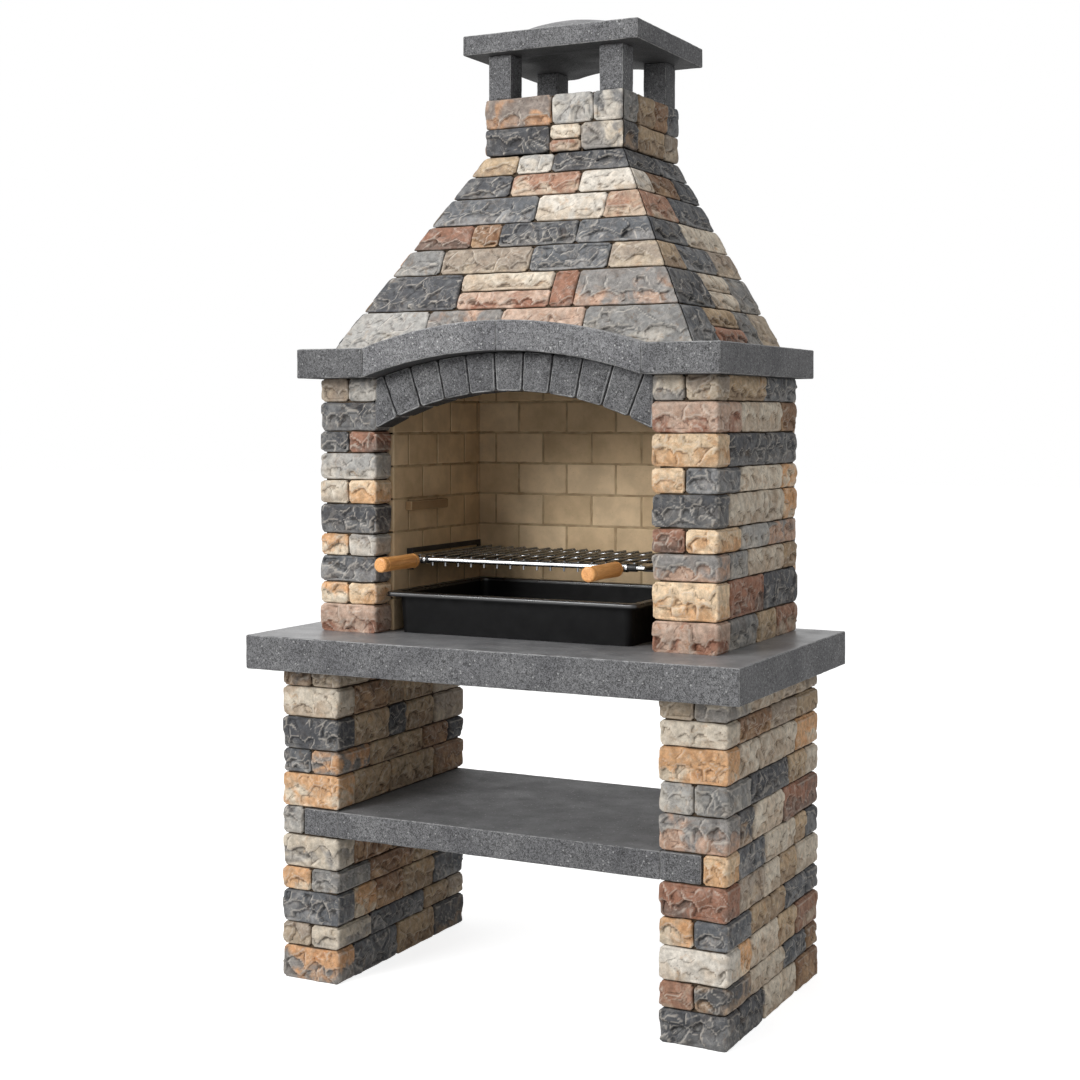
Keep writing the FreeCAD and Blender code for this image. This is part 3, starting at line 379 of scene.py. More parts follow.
def make_stone_look():
    """Split stone: two tones in patches, softly mottled, with painted highlight and wear on sharp ridges
    and painted shade in hollows and joints.
    """
    look = Look("split_stone", Specular_IOR_Level=0.3)
    seed, ridge, patchy = look.parts(look.attribute("detail"))
    second, third = (look.times(seed, factor) for factor in (1.7, 2.3))
    offset = look.node("CombineXYZ", {0: seed, 1: second, 2: third}).outputs[0]
    look.place = look.vector("ADD", look.place, offset)
    broad = look.noise(16.0, 4.0, 0.55, 0.9)
    share = look.range(look.math("ADD", broad, patchy), 0.42, 0.64)
    look.colour = look.mix(share, look.attribute("tone_a"), look.attribute("tone_b"))
    stain = look.range(look.noise(28.0, 3.0, 0.6, 0.4), 0.45, 0.75)
    look.paint(look.times(stain, 0.3), (150, 116, 86), "SOFT_LIGHT")
    mottle = look.noise(75.0, 4.0, 0.6)
    look.tint(look.range(mottle, 0.3, 0.72, 0.72, 1.2))
    rust = look.range(look.noise(36.0, 4.0, 0.65, 0.8), 0.56, 0.72, 0.0, 0.6)
    look.paint(rust, (233, 200, 168), "MULTIPLY")
    grain = look.range(look.noise(520.0, 2.0, 0.6), 0.3, 0.7, 0.9, 1.09)
    look.tint(grain)
    veins = look.math("ABSOLUTE", look.math("SUBTRACT", look.noise(24.0, 3.0, 0.55, 0.5), 0.5))
    look.paint(look.range(veins, 0.0, 0.04, 0.11, 0.0), (222, 214, 202))
    # Painted highlight and wear: paler on sharp ridges.
    look.paint(look.range(ridge, 0.22, 1.0, 0.0, 0.34), (226, 217, 204))
    # Painted shade: darker in hollows, and in the joints and round rims behind the faces.
    look.paint(look.range(ridge, -0.95, -0.2, 0.72, 0.0), (70, 60, 52), "MULTIPLY")
    rough = look.range(grain, 0.9, 1.09, 0.95, 0.8)
    fine = look.times(look.noise(640.0), 0.35)
    look.bump(look.math("ADD", look.noise(150.0, 4.0, 0.6), fine), 0.0016, 0.85)
    return look.done(rough)


def make_mortar_look():
    """Sandy mortar in the joints."""
    look = Look("mortar", Specular_IOR_Level=0.2)
    broad = look.range(look.noise(22.0, 3.0), 0.3, 0.7)
    look.colour = look.mix(broad, (62, 52, 41), (88, 74, 59))
    grain = look.range(look.noise(420.0, 3.0, 0.7), 0.3, 0.7, 0.0, 0.5)
    look.paint(grain, (70, 58, 47))
    look.bump(look.noise(380.0, 3.0, 0.7), 0.0012, 0.9)
    return look.done(look.range(broad, 0.0, 1.0, 0.97, 0.88))


def make_concrete_look(name, polish, dark, light):
    """Grey cast stone with pale and dark specks, pale worn edges with painted highlight, a smoother top
    painted paler as light from above, and painted shade underneath.
    """
    look = Look(name, Specular_IOR_Level=0.45)
    broad = look.range(look.noise(9.0, 4.0, 0.6), 0.3, 0.7)
    look.colour = look.mix(broad, (80, 80, 82), (96, 96, 97))
    speckle = look.noise(195.0, 4.0, 0.65, 1.6)
    look.tint(look.range(speckle, 0.36, 0.64, 0.32, 1.9))
    level = look.parts(look.node("NewGeometry", {}).outputs["Normal"])[2]
    upward = look.range(level, 0.8, 0.97)
    cloud = look.range(look.noise(16.0, 5.0, 0.65), 0.3, 0.72)
    # Painted light from above: faces that look up take a paler grey.
    painted_top_light = look.mix(cloud, dark, light)
    look.paint(look.times(upward, 0.75), painted_top_light)
    kind = look.parts(look.cells(170.0, "Color"))
    size = look.range(look.cells(170.0, "Distance"), 0.2, 0.42, 1.0, 0.0)
    flecks = look.range(kind[0], 0.88, 0.95, 0.0, 0.5)
    look.paint(look.times(flecks, size), (192, 192, 190))
    pits = look.range(kind[1], 0.84, 0.92, 0.0, 0.45)
    look.paint(look.times(pits, size), (40, 40, 41))
    # Painted shade under things: faces that look down are darker.
    look.tint(look.range(level, -0.9, -0.35, 0.2, 1.0))
    _, ridge, shade = look.parts(look.attribute("detail"))
    # Each piece's own shade; on the rear posts it is painted shade under the cap.
    look.tint(look.math("ADD", shade, 1.0))
    # Pale edges: wear, and painted highlight along the edges.
    patches = look.range(look.noise(60.0, 4.0, 0.7), 0.3, 0.62)
    worn = look.times(look.range(ridge, 0.15, 0.7), patches)
    look.paint(look.times(worn, 0.6), (180, 180, 179))
    rough = look.range(look.noise(12.0, 4.0), 0.3, 0.7, 0.7, 0.84)
    rough = look.math("SUBTRACT", rough, look.times(upward, polish))
    fine = look.times(look.noise(500.0), 0.4)
    height = look.math("ADD", look.noise(150.0, 4.0, 0.7, 0.8), fine)
    height = look.times(height, look.range(upward, 0.0, 1.0, 1.0, 0.1))
    look.bump(height, 0.0016, 0.75)
    return look.done(rough)


def make_firebrick_look(name, dark, light):
    """Firebrick between two tones, each brick a little different, with specks, faint smoke and pale edges
    that are worn and carry painted highlight.
    """
    look = Look(name, Specular_IOR_Level=0.25)
    seed, ridge, _ = look.parts(look.attribute("detail"))
    tone = look.range(look.math("FRACT", look.times(seed, 7.31)), 0.0, 1.0)
    look.colour = look.mix(tone, dark, light)
    cloud = look.range(look.noise(14.0, 4.0, 0.6), 0.3, 0.7, 0.84, 1.1)
    look.tint(cloud)
    specks = look.range(look.noise(260.0, 3.0, 0.6), 0.62, 0.74, 0.0, 0.35)
    look.paint(specks, (132, 106, 74))
    # Pale edges: wear, and painted highlight along the bevels.
    look.paint(look.range(ridge, 0.1, 0.8, 0.0, 0.3), (222, 204, 170))
    look.bump(look.noise(330.0, 3.0, 0.6), 0.0008, 0.6)
    return look.done(look.range(cloud, 0.84, 1.1, 0.92, 0.8))


def make_pointing_look():
    """Buff jointing between the firebricks, a little darker than they are."""
    look = Look("lining_pointing", Specular_IOR_Level=0.2)
    cloud = look.range(look.noise(30.0, 3.0), 0.3, 0.7)
    look.colour = look.mix(cloud, (156, 134, 104), (184, 162, 130))
    grain = look.noise(380.0, 3.0, 0.7)
    look.bump(grain, 0.0008, 0.7)
    return look.done(look.range(grain, 0.3, 0.7, 0.97, 0.88))


def make_black_look(name, tone, roughness, sheen, rim=None):
    """Black enamel with faint unevenness and dust, rubbed bright above a rim's height if one is given."""
    look = Look(name, Specular_IOR_Level=sheen)
    cloud = look.range(look.noise(18.0, 4.0, 0.6), 0.3, 0.7)
    dusty = tuple(part + 9 for part in tone)
    look.colour = look.mix(cloud, tone, dusty)
    fine = look.noise(520.0, 2.0, 0.6)
    smudge = look.range(look.noise(40.0, 3.0), 0.3, 0.7, -0.06, 0.06)
    rough = look.math("ADD", smudge, roughness)
    if rim:
        rubbed = look.range(look.parts(look.place)[2], rim - 0.003, rim + 0.001)
        rough = look.math("SUBTRACT", rough, look.times(rubbed, 0.18))
        fine = look.times(fine, look.range(rubbed, 0.0, 1.0, 1.0, 0.1))
        look.set(Specular_IOR_Level=look.range(rubbed, 0.0, 1.0, sheen, 0.9))
    look.bump(fine, 0.0003, 0.5)
    return look.done(rough)


def make_chrome_look(name, dark, light, smooth, rough):
    """Plated steel with faint drawing marks, between two tones and two roughnesses."""
    look = Look(name, Metallic=1.0)
    cloud = look.range(look.noise(30.0, 3.0), 0.3, 0.7)
    look.colour = look.mix(cloud, dark, light)
    marks = look.range(look.noise(240.0), 0.3, 0.7, smooth, rough)
    look.bump(look.noise(400.0), 0.0002, 0.4)
    return look.done(marks)


def make_wood_look():
    """Turned beech with long grain, short flecks, a thin varnish and painted shade in its grooves."""
    look = Look("turned_beech", Coat_Weight=0.25, Coat_Roughness=0.28)
    drawn = look.vector("MULTIPLY", look.place, (1.0, 0.07, 1.0))
    grain = look.noise(330.0, 4.0, 0.6, 0.5, drawn)
    look.colour = look.mix(look.range(grain, 0.32, 0.68), (194, 126, 64), (228, 166, 98))
    short = look.vector("MULTIPLY", look.place, (1.0, 0.16, 1.0))
    flecks = look.noise(900.0, place=short)
    look.paint(look.range(flecks, 0.6, 0.72, 0.0, 0.5), (152, 92, 44))
    long = look.vector("MULTIPLY", look.place, (1.0, 0.03, 1.0))
    rings = look.noise(90.0, distortion=0.6, place=long)
    look.paint(look.range(rings, 0.4, 0.62, 0.0, 0.35), (234, 176, 108))
    ridge = look.parts(look.attribute("detail"))[1]
    # Painted shade in the grooves: darker where the surface bends inward.
    look.paint(look.range(ridge, -0.7, -0.1, 0.55, 0.0), (120, 74, 38))
    look.bump(grain, 0.0004, 0.5)
    return look.done(look.range(grain, 0.3, 0.7, 0.5, 0.36))


RIM_DEPTH = 0.006
tray_rim = node_box("ember_tray")[1][2] - RIM_DEPTH

stone_look = make_stone_look()
mortar_look = make_mortar_look()
# Dark and light are the paler greys of the tops, painted light from above.
concrete_look = make_concrete_look("cast_concrete", polish=0.1, dark=(104, 104, 105), light=(130, 130, 131))
worktop_look = make_concrete_look("honed_concrete", polish=0.4, dark=(114, 114, 116), light=(142, 142, 143))
firebrick_look = make_firebrick_look("firebrick", dark=(203, 177, 141), light=(219, 194, 159))
# The grill ledges' firebrick is darker: painted shade on and under the ledges.
shaded_ledge_look = make_firebrick_look("shaded_ledge_firebrick", dark=(142, 114, 82), light=(158, 129, 95))
pointing_look = make_pointing_look()
tray_look = make_black_look("black_enamel", (8, 8, 9), roughness=0.5, sheen=0.14, rim=tray_rim)
steel_look = make_black_look("black_steel", (30, 30, 31), roughness=0.42, sheen=0.45)
chrome_look = make_chrome_look("chrome", (196, 198, 200), (226, 227, 228), smooth=0.12, rough=0.24)
wire_look = make_chrome_look("wire_steel", (122, 124, 127), (150, 152, 155), smooth=0.24, rough=0.36)
wood_look = make_wood_look()


# Stones

# Spacing of a stone's mesh, on its face and along an open end.
STONE_CELL = 0.004
END_CELL = 0.007
# The last mesh line of a stone without open ends, behind its round edge.
LAST_LINE = 0.006
# The share of the relief that is left at a mitre, and how far from there it is whole.
MITRE_RELIEF = 0.3
MITRE_REACH = 0.03
# The share of the relief on an open end, and how far that end is pushed out.
END_RELIEF = 0.3
END_PUSH = 0.003
# How far the faces in the joints waver, and how many times in a metre.
WAVER = 0.0016
WAVER_RATE = 26
# The round corners of a stone's outline, and the most that corners and edges take of a side.
CORNER_RADIUS = (0.005, 0.009)
CORNER_SHARE = 0.3
ROUND_SHARE = 0.22
# A ridge this high gets the most painted highlight.
RIDGE_HEIGHT = 0.7 * MILLIMETRE
# Painted shade in the joints: a stone grows darker between these depths behind its faces, by this much.
PAINTED_SHADE_DEPTHS = (0.002, 0.0075)
PAINTED_JOINT_SHADE = 1.3
# How light each stone is, and how far it leans to one of its two tones.
LIGHTNESS = (0.9, 1.08)
TONE_LEAN = 0.08
# Stones of one course differ less than this in height.
COURSE_SPREAD = 0.8 * MILLIMETRE
# The open joint under the chimney.
CHIMNEY_JOINT = 0.007


def loose_solids(node):
    """Corner points of each separate solid in a node's mesh."""
    mesh = nodes[node].data
    points = np.zeros(len(mesh.vertices) * 3)
    mesh.vertices.foreach_get("co", points)
    spots, index = np.unique(np.round(points.reshape(-1, 3), 6), axis=0, return_inverse=True)
    index = index.ravel()
    ends = np.zeros(len(mesh.edges) * 2, int)
    mesh.edges.foreach_get("vertices", ends)
    ends = index[ends].reshape(-1, 2)
    group = np.arange(len(spots))
    while True:
        low = np.minimum(group[ends[:, 0]], group[ends[:, 1]])
        before = group.copy()
        np.minimum.at(group, ends[:, 0], low)
        np.minimum.at(group, ends[:, 1], low)
        group = group[group]
        if (group == before).all():
            break
    return [spots[group == which] for which in np.unique(group)]


def stone_corners(points):
    """A stone's face name and its full corners[along][up][inward], from the points of its CAD solid."""
    low, high = points[:, 2].min(), points[:, 2].max()
    outer = points[(points[:, 2] > low + 1e-4) & (points[:, 2] < high - 1e-4)]
    lean = (outer.mean(0) - points.mean(0))[:2]
    across = int(abs(lean[1]) > abs(lean[0]))
    inward = -np.sign(lean[across])
    corners = np.zeros((2, 2, 2, 3))
    for up, level in enumerate((low, high)):
        ring = points[np.abs(points[:, 2] - level) < 1e-4]
        ring = ring[np.argsort(ring[:, across] * inward)]
        for deep, pair in enumerate((ring[:2], ring[2:])):
            corners[:, up, deep] = pair[np.argsort(pair[:, 1 - across])]
    chamfer = abs(outer[:, 2].min() - low)
    depth = abs(corners[..., 1, across] - corners[..., 0, across]).mean()
    corners[:, :, 0] += (corners[:, :, 0] - corners[:, :, 1]) * (chamfer / depth)
    face = {(1, 1): "front", (1, -1): "rear", (0, 1): "left", (0, -1): "right"}[across, int(inward)]
    return face, corners


def tilted_planes(places, low, high, height, rng):
    """Relief of the tilted planes that a face is broken into, in metres."""
    plane_area, margin = 0.0011, 0.01
    steepness, most = 0.2, 0.004
    lowest, highest = -0.003, 0.0008
    blend = 0.0012
    count = max(4, round((high - low) * height / plane_area))
    seeds = np.stack((rng.uniform(low, high, count), rng.uniform(-margin, height + margin, count)), -1)
    slopes = rng.normal(0, steepness, (count, 2))
    levels = rng.uniform(lowest, highest, count)
    gaps = places[:, None] - seeds
    reach = np.linalg.norm(gaps, axis=-1)
    weights = np.exp(-(reach - reach.min(1, keepdims=True)) / blend)
    weights /= weights.sum(1, keepdims=True)
    return (weights * (levels + np.clip((gaps * slopes).sum(-1), -most, most))).sum(1)


def chip_row(places, ragged, low, high, height, ledge, rng):
    """Relief of a row of chips like shells under a ragged line, in metres, and how far each point lies
    under that line, from 0 to 1."""
    widths, margin = (0.026, 0.075), 0.03
    depths = (0.0035, 0.0105)
    line_spread, line_bow = 0.07, 0.5
    lip_start, lip_end = -0.0008, 0.0028
    fade_start, fade_end = 0.005, max(height * 0.45, 0.016)
    along, up = places.T
    count = 2 + round((high - low + 2 * margin) / widths[0])
    edges = low - margin + np.cumsum(rng.uniform(*widths, count))
    chip = np.clip(np.searchsorted(edges, along), 1, len(edges) - 1)
    half = (edges[chip] - edges[chip - 1]) / 2
    shell = 1 - np.clip((along - edges[chip - 1]) / half - 1, -1, 1) ** 2
    base = height * (rng.uniform(*ledge) + rng.normal(0, line_spread, count))
    drop = base[chip] + line_bow * half * shell + ragged - up
    under = step(drop, lip_start, lip_end)
    bowl = (0.4 + 0.6 * shell) * (1 - 0.6 * step(drop, fade_start, fade_end))
    return -rng.uniform(*depths, count)[chip] * under * bowl, under


def broken_face(along, up, height, rng, rough, ledge):
    """Relief of a split face in metres, which falls off to its rim, and how far each point lies under the
    line of its chips."""
    bend_along, bend_up, bend_rate = 0.008, 0.006, 38
    ragged_depth, ragged_rate = 0.0016, 130
    pillow_depth, pillow_reach = 0.0034, 0.017
    proudest = 0.0035
    shift = rng.uniform(0, SHIFT_REACH, 3)
    flat = np.stack((along, up, np.zeros_like(along)), -1)
    bent_along = along + bend_along * noise(flat * bend_rate + shift)
    bent_up = up + bend_up * noise(flat * bend_rate + shift + 31)
    bent = np.stack((bent_along, bent_up), -1)
    low, high = along.min(), along.max()
    planes = tilted_planes(bent, low, high, height, rng)
    ragged = ragged_depth * noise(flat * (ragged_rate, 0, 0) + shift)
    chips, under = chip_row(bent, ragged, low, high, height, ledge, rng)
    grain = 0.0005 * noise(flat * 70 + shift) + 0.0003 * noise(flat * 170 + shift)
    rim = np.minimum(np.minimum(along - low, high - along), np.minimum(up, height - up))
    pillow = -pillow_depth * (1 - step(rim, 0.0, pillow_reach))
    relief = rough * (planes + chips + grain) + pillow
    return np.minimum(relief - np.quantile(relief, 0.65), proudest), under


def raised(corners, gap):
    """A stone's corners with its bed lifted, which leaves an open joint under it."""
    lifted = corners.copy()
    lifted[:, 0, :, 2] += gap
    return lifted


def stone_ends(corners, axis, lowest, highest):
    """What a stone's two ends meet: a mitre, the open air or a joint."""
    found = []
    for end, inward, limit in ((0, 1, lowest), (1, -1, highest)):
        outer, inner = (corners[end, :, deep, axis].mean() for deep in (0, 1))
        if inward * (inner - outer) > 10 * MILLIMETRE:
            found.append("mitre")
        else:
            found.append("open" if abs(outer - limit[axis]) < MILLIMETRE else "joint")
    return found


def soft_corners(points, size, ends, radius):
    """A stone's points with the corners of its outline drawn in to a round, except at a mitre."""
    low, high = np.full(2, radius), size[:2] - radius
    if ends[0] == "mitre":
        low[0] = 0.0
    if ends[1] == "mitre":
        high[0] = size[0]
    inner = np.clip(points[:, :2], low, high)
    out = points[:, :2] - inner
    share = np.abs(out).max(1) / np.maximum(np.linalg.norm(out, axis=1), 1e-9)
    moved = points.copy()
    moved[:, :2] = inner + out * np.where(share > 0, share, 1)[:, None]
    return moved


def stone_box(size, ends, rounding, cell, rng):
    """A box with round edges, longer by a radius at each mitre: its plain points, its round ones, their
    normals and the quads."""
    length, height, depth = size
    radius = min(rng.uniform(*rounding), height * ROUND_SHARE)
    if "open" in ends:
        inward = ticks(depth, END_CELL, radius)
    else:
        inward = np.concatenate((NEAR_EDGE * radius, (radius, radius + LAST_LINE, depth)))
    before, after = (radius * (end == "mitre") for end in ends)
    longer = length + before + after
    local, quads = lattice((ticks(longer, cell, radius), ticks(height, cell, radius), inward))
    shaped, normals = round_box(local, np.array((longer, height, depth)), radius)
    local[:, 0] -= before
    shaped[:, 0] -= before
    return local, shaped, normals, quads


def add_stone(pile, corners, ends, letter, painted_light, cut, rng):
    """One stone: a box with round edges, cut off square at a mitre, whose open faces are broken and whose
    joint faces waver."""
    ledge, rounding, swell, cell = cut
    size = block_size(corners)
    length, height, _ = size
    local, shaped, normals, quads = stone_box(size, ends, rounding, cell, rng)
    sunk = shaped[:, 2].copy()
    for end, gap in zip(ends, (shaped[:, 0], length - shaped[:, 0])):
        if end == "open":
            sunk = np.minimum(sunk, gap)
    along = local[:, 0] + local[:, 2] * np.sign(normals[:, 0])
    up = local[:, 1] + local[:, 2] * np.sign(normals[:, 1])
    first, second, rough = STONE_TONES[letter]
    relief, under = broken_face(along, up, height, rng, rough, ledge)
    out = np.clip(-normals[:, 2], 0, 1) ** 2
    sides = np.clip(-normals[:, 0], 0, 1) ** 2 * (ends[0] == "open")
    sides += np.clip(normals[:, 0], 0, 1) ** 2 * (ends[1] == "open")
    shut = np.clip(1 - out - sides, 0, 1)
    waver = swell + WAVER * noise(local * WAVER_RATE + rng.uniform(0, SHIFT_REACH, 3))
    for end, gap in zip(ends, (local[:, 0], length - local[:, 0])):
        if end == "mitre":
            relief = relief * (MITRE_RELIEF + (1 - MITRE_RELIEF) * step(gap, 0.0, MITRE_REACH))
    push = relief * (out + END_RELIEF * sides) + END_PUSH * sides + waver * shut
    shaped = shaped + normals * push[:, None]
    corner_radius = min(rng.uniform(*CORNER_RADIUS), size[:2].min() * CORNER_SHARE)
    shaped = soft_corners(shaped, size, ends, corner_radius)
    if ends[0] == "mitre":
        shaped[:, 0] = np.maximum(shaped[:, 0], 0)
    if ends[1] == "mitre":
        shaped[:, 0] = np.minimum(shaped[:, 0], length)
    points = within(corners, shaped / size)
    points[:, 2] = np.maximum(points[:, 2], GROUND)
    if mirrored(corners):
        quads = quads[:, ::-1]
    ridge = np.clip(bends(points, quads) / RIDGE_HEIGHT, -0.75, 1)
    # Painted shade in the joints: darker where the stone lies behind its faces.
    ridge -= PAINTED_JOINT_SHADE * step(sunk, *PAINTED_SHADE_DEPTHS)
    # Painted light makes the stones of some faces paler, as if lit more from that side.
    light = rng.uniform(*LIGHTNESS) * painted_light
    patchy = rng.uniform(-TONE_LEAN, TONE_LEAN) + 2 * TONE_LEAN * (under - 0.5)
    detail = detail_rows(rng.uniform(0, SEED_REACH), ridge, patchy)
    pile.add(points, quads, tone_a=linear(first) * light, tone_b=linear(second) * light, detail=detail)


def stone_cut(wall):
    """How a wall's stones are cut: the height of the ragged line on a face as a share of the stone's, the
    radius of the edges, how far the faces in the joints stand out, and the spacing of the mesh."""
    ledge, rounding, swell = (0.25, 0.52), (0.0045, 0.007), 0.0012
    if wall.startswith(("hood", "chimney")):
        rounding, swell = (0.005, 0.008), 0.0016
    if wall.startswith("hood"):
        ledge = (0.08, 0.3)
    cell = STONE_CELL * (1.5 if wall == "rear_wall" else 1.0)
    return ledge, rounding, swell, cell


def courses(stones, axis):
    """The stones of one face, course by course from the bottom up, each course in order along an axis."""
    levels = sorted({round(float(corners[0, 0, 0, 2]), 3) for corners in stones})
    for level in levels:
        laid = [corners for corners in stones if abs(corners[0, 0, 0, 2] - level) < COURSE_SPREAD]
        yield sorted(laid, key=lambda corners: corners[0, 0, 0, axis])


def make_stones(wall, seed):
    """Rebuilds every stone of a wall in place, with its own colour and broken face."""
    node = f"{wall}_stones"
    rng = np.random.default_rng(seed)
    cut = stone_cut(wall)
    lowest, highest = node_box(node)
    faces = {}
    for points in loose_solids(node):
        face, corners = stone_corners(points)
        faces.setdefault(face, []).append(corners)
    pile = Pile()
    for face in sorted(faces):
        axis = 0 if face in ("front", "rear") else 1
        painted_light = PAINTED_LIGHT_FACES.get((wall, face), 1.0)
        letters = STONE_LETTERS.get((wall, face), "").split()
        for course, laid in enumerate(courses(faces[face], axis)):
            row = letters[course] if letters else ""
            for index, corners in enumerate(laid):
                if wall == "chimney" and course == 0:
                    corners = raised(corners, CHIMNEY_JOINT)
                if index < len(row):
                    letter = row[index]
                else:
                    letter = HIDDEN_LETTERS[rng.integers(len(HIDDEN_LETTERS))]
                ends = stone_ends(corners, axis, lowest, highest)
                add_stone(pile, corners, ends, letter, painted_light, cut, rng)
    pile.build(f"{node}_split", "masonry", stone_look, "split_stone", node)


WALLS = (
    "left_leg", "right_leg", "left_pier", "right_pier", "rear_wall",
    "hood_front", "hood_rear", "hood_left", "hood_right", "chimney",
)
for number, name in enumerate(WALLS):
    make_stones(name, 100 + number)


# Cast pieces

# Spacing of the mesh, radius and reach of the edges, and depth of the nicks of a cast piece.
CAST_CELL = 0.011
POST_CELL = 0.008
CAST_RADIUS = 0.0035
CAST_REACH = 1.6 * CAST_RADIUS
CAST_NICKS = 0.0032
# The nicks where two blocks of one piece join.
JOINED_NICKS = MILLIMETRE

# Pieces that are darker or paler than the rest, and by what share; the rear posts' darkening is painted
# shade.
SHADES = {"mantel_left": -0.2, "cap_post_rear_left": -0.32, "cap_post_rear_right": -0.32}
LIP_SHADE = 0.3


def cast_block(pile, size, place, seed, cell=CAST_CELL, nicks=CAST_NICKS, shade=0.0):
    """A cast block with round, nicked edges. Place turns local points into the frame's. Shade makes its
    colour paler above 0 and darker below."""
    nick_rate, fine_rate = 45, 110
    uneven, uneven_rate = 0.0004, 28
    size = np.array(size)
    rng = np.random.default_rng(seed)
    local, quads = lattice([ticks(length, cell, min(CAST_REACH, length * MOST_REACH)) for length in size])
    shaped, normals = round_box(local, size, CAST_RADIUS)
    shift = rng.uniform(0, SHIFT_REACH, 3)
    edge = edge_share(normals)
    nick = noise(shaped * nick_rate + shift) + 0.5 * noise(shaped * fine_rate + shift)
    nick = step(nick, 0.15, 0.9)
    shaped = shaped - normals * (edge * STRAIGHT_EDGE * nick * nicks)[:, None]
    shaped = shaped + normals * (uneven * noise(shaped * uneven_rate + shift))[:, None]
    points = place(shaped)
    probe = place(MILLIMETRE * np.array(((0, 0, 0), (1, 0, 0), (0, 1, 0), (0, 0, 1))))
    if np.linalg.det(probe[1:] - probe[0]) < 0:
        quads = quads[:, ::-1]
    detail = detail_rows(rng.uniform(0, SEED_REACH), np.clip(edge * EDGE_WEAR_AND_HIGHLIGHT, 0, 1), shade)
    pile.add(points, quads, detail=detail)


def build_cast(pile, node, look=concrete_look):
    """Puts a cast piece in place of its CAD node."""
    pile.build(f"{node}_cast", "masonry", look, "cast_concrete", node)


def make_slab(node, look, seed, cell=CAST_CELL):
    """A cast piece that is one plain block."""
    low, high = node_box(node)
    shade = SHADES.get(node, 0.0)
    pile = Pile()
    cast_block(pile, high - low, lambda points: points + low, seed, cell=cell, shade=shade)
    build_cast(pile, node, look)


make_slab("worktop_slab", worktop_look, 1)
BLOCKS = ("shelf_left_end", "shelf_right_end", "mantel_left", "mantel_right", "mantel_rear")
for number, name in enumerate(BLOCKS):
    make_slab(name, concrete_look, 20 + number)
for number, name in enumerate(("front_left", "front_right", "rear_left", "rear_right")):
    make_slab(f"cap_post_{name}", concrete_look, 30 + number, cell=POST_CELL)


def make_shelf():
    """The shelf: its nose between the legs and its bed behind, which reaches into them."""
    overlap = 0.008
    low, high = node_box("shelf_slab")
    block_low, block_high = node_box("shelf_right_end")
    nose = block_low[0]
    pile = Pile()
    bed_low = np.array((low[0], block_high[1], low[2]))
    cast_block(pile, high - bed_low, lambda points: points + bed_low, 41, nicks=JOINED_NICKS)
    nose_low = np.array((-nose, low[1], low[2]))
    nose_size = (2 * nose, block_high[1] - low[1] + overlap, high[2] - low[2])
    cast_block(pile, nose_size, lambda points: points + nose_low, 42)
    build_cast(pile, "shelf_slab")


make_shelf()

ARCH_HALF, _, ARCH_TOP = node_box("mantel_arch_right")[1]
MANTEL_LOW, MANTEL_HIGH = (corner[2] for corner in node_box("mantel_right"))
ARCH_RISE = ARCH_TOP - MANTEL_HIGH
ARCH_RADIUS = (ARCH_HALF ** 2 + ARCH_RISE ** 2) / (2 * ARCH_RISE)


def arch_line(x):
    """Height of the mantel's curve above its ends."""
    return ARCH_RISE - ARCH_RADIUS + np.sqrt(ARCH_RADIUS ** 2 - x ** 2)


def make_mantel_arch(word, side, seed):
    """Half of the raised front arch: a curved lip in front and a flat seat behind it."""
    overlap = 0.006
    node = f"mantel_arch_{word}"
    low, high = node_box(node)
    thickness = MANTEL_HIGH - MANTEL_LOW
    lip_depth = node_box("hood_front_stones")[0][1] - low[1]
    seat_front = low[1] + lip_depth - overlap
    seat_depth = high[1] - low[1] - lip_depth + overlap

    def lip(points):
        x = side * points[:, 0]
        return np.stack((x, low[1] + points[:, 1], MANTEL_LOW + arch_line(x) + points[:, 2]), -1)

    def seat(points):
        x = side * points[:, 0]
        under = MANTEL_LOW + arch_line(x)
        share = points[:, 2] / thickness
        return np.stack((x, seat_front + points[:, 1], under + share * (MANTEL_HIGH - under)), -1)

    pile = Pile()
    cast_block(pile, (ARCH_HALF, lip_depth, thickness), lip, seed, shade=LIP_SHADE)
    cast_block(pile, (ARCH_HALF, seat_depth, thickness), seat, seed + 1, nicks=JOINED_NICKS)
    build_cast(pile, node)


make_mantel_arch("left", -1, 51)
make_mantel_arch("right", 1, 53)


def wedge_corners(points):
    """Corners[along][up][inward] of a wedge stone, from the points of its CAD solid."""
    arch_reach, sideways = 0.75, 2.0
    front, rear = points[:, 1].min(), points[:, 1].max()
    outline = points[np.abs(points[:, 1] - front) < 1e-5][:, [0, 2]]
    middle = (outline.min(0) + outline.max(0)) / 2
    lean = middle[0] / arch_reach
    x, z = outline.T
    turned = np.stack((x - lean * (z - middle[1]), z + lean * x), -1)
    corners = np.zeros((2, 2, 2, 3))
    for along, sign_x in enumerate((-1, 1)):
        for up, sign_z in enumerate((-1, 1)):
            x, z = outline[np.argmax(turned @ (sign_x * sideways, sign_z))]
            corners[along, up] = ((x, front, z), (x, rear, z))
    return corners


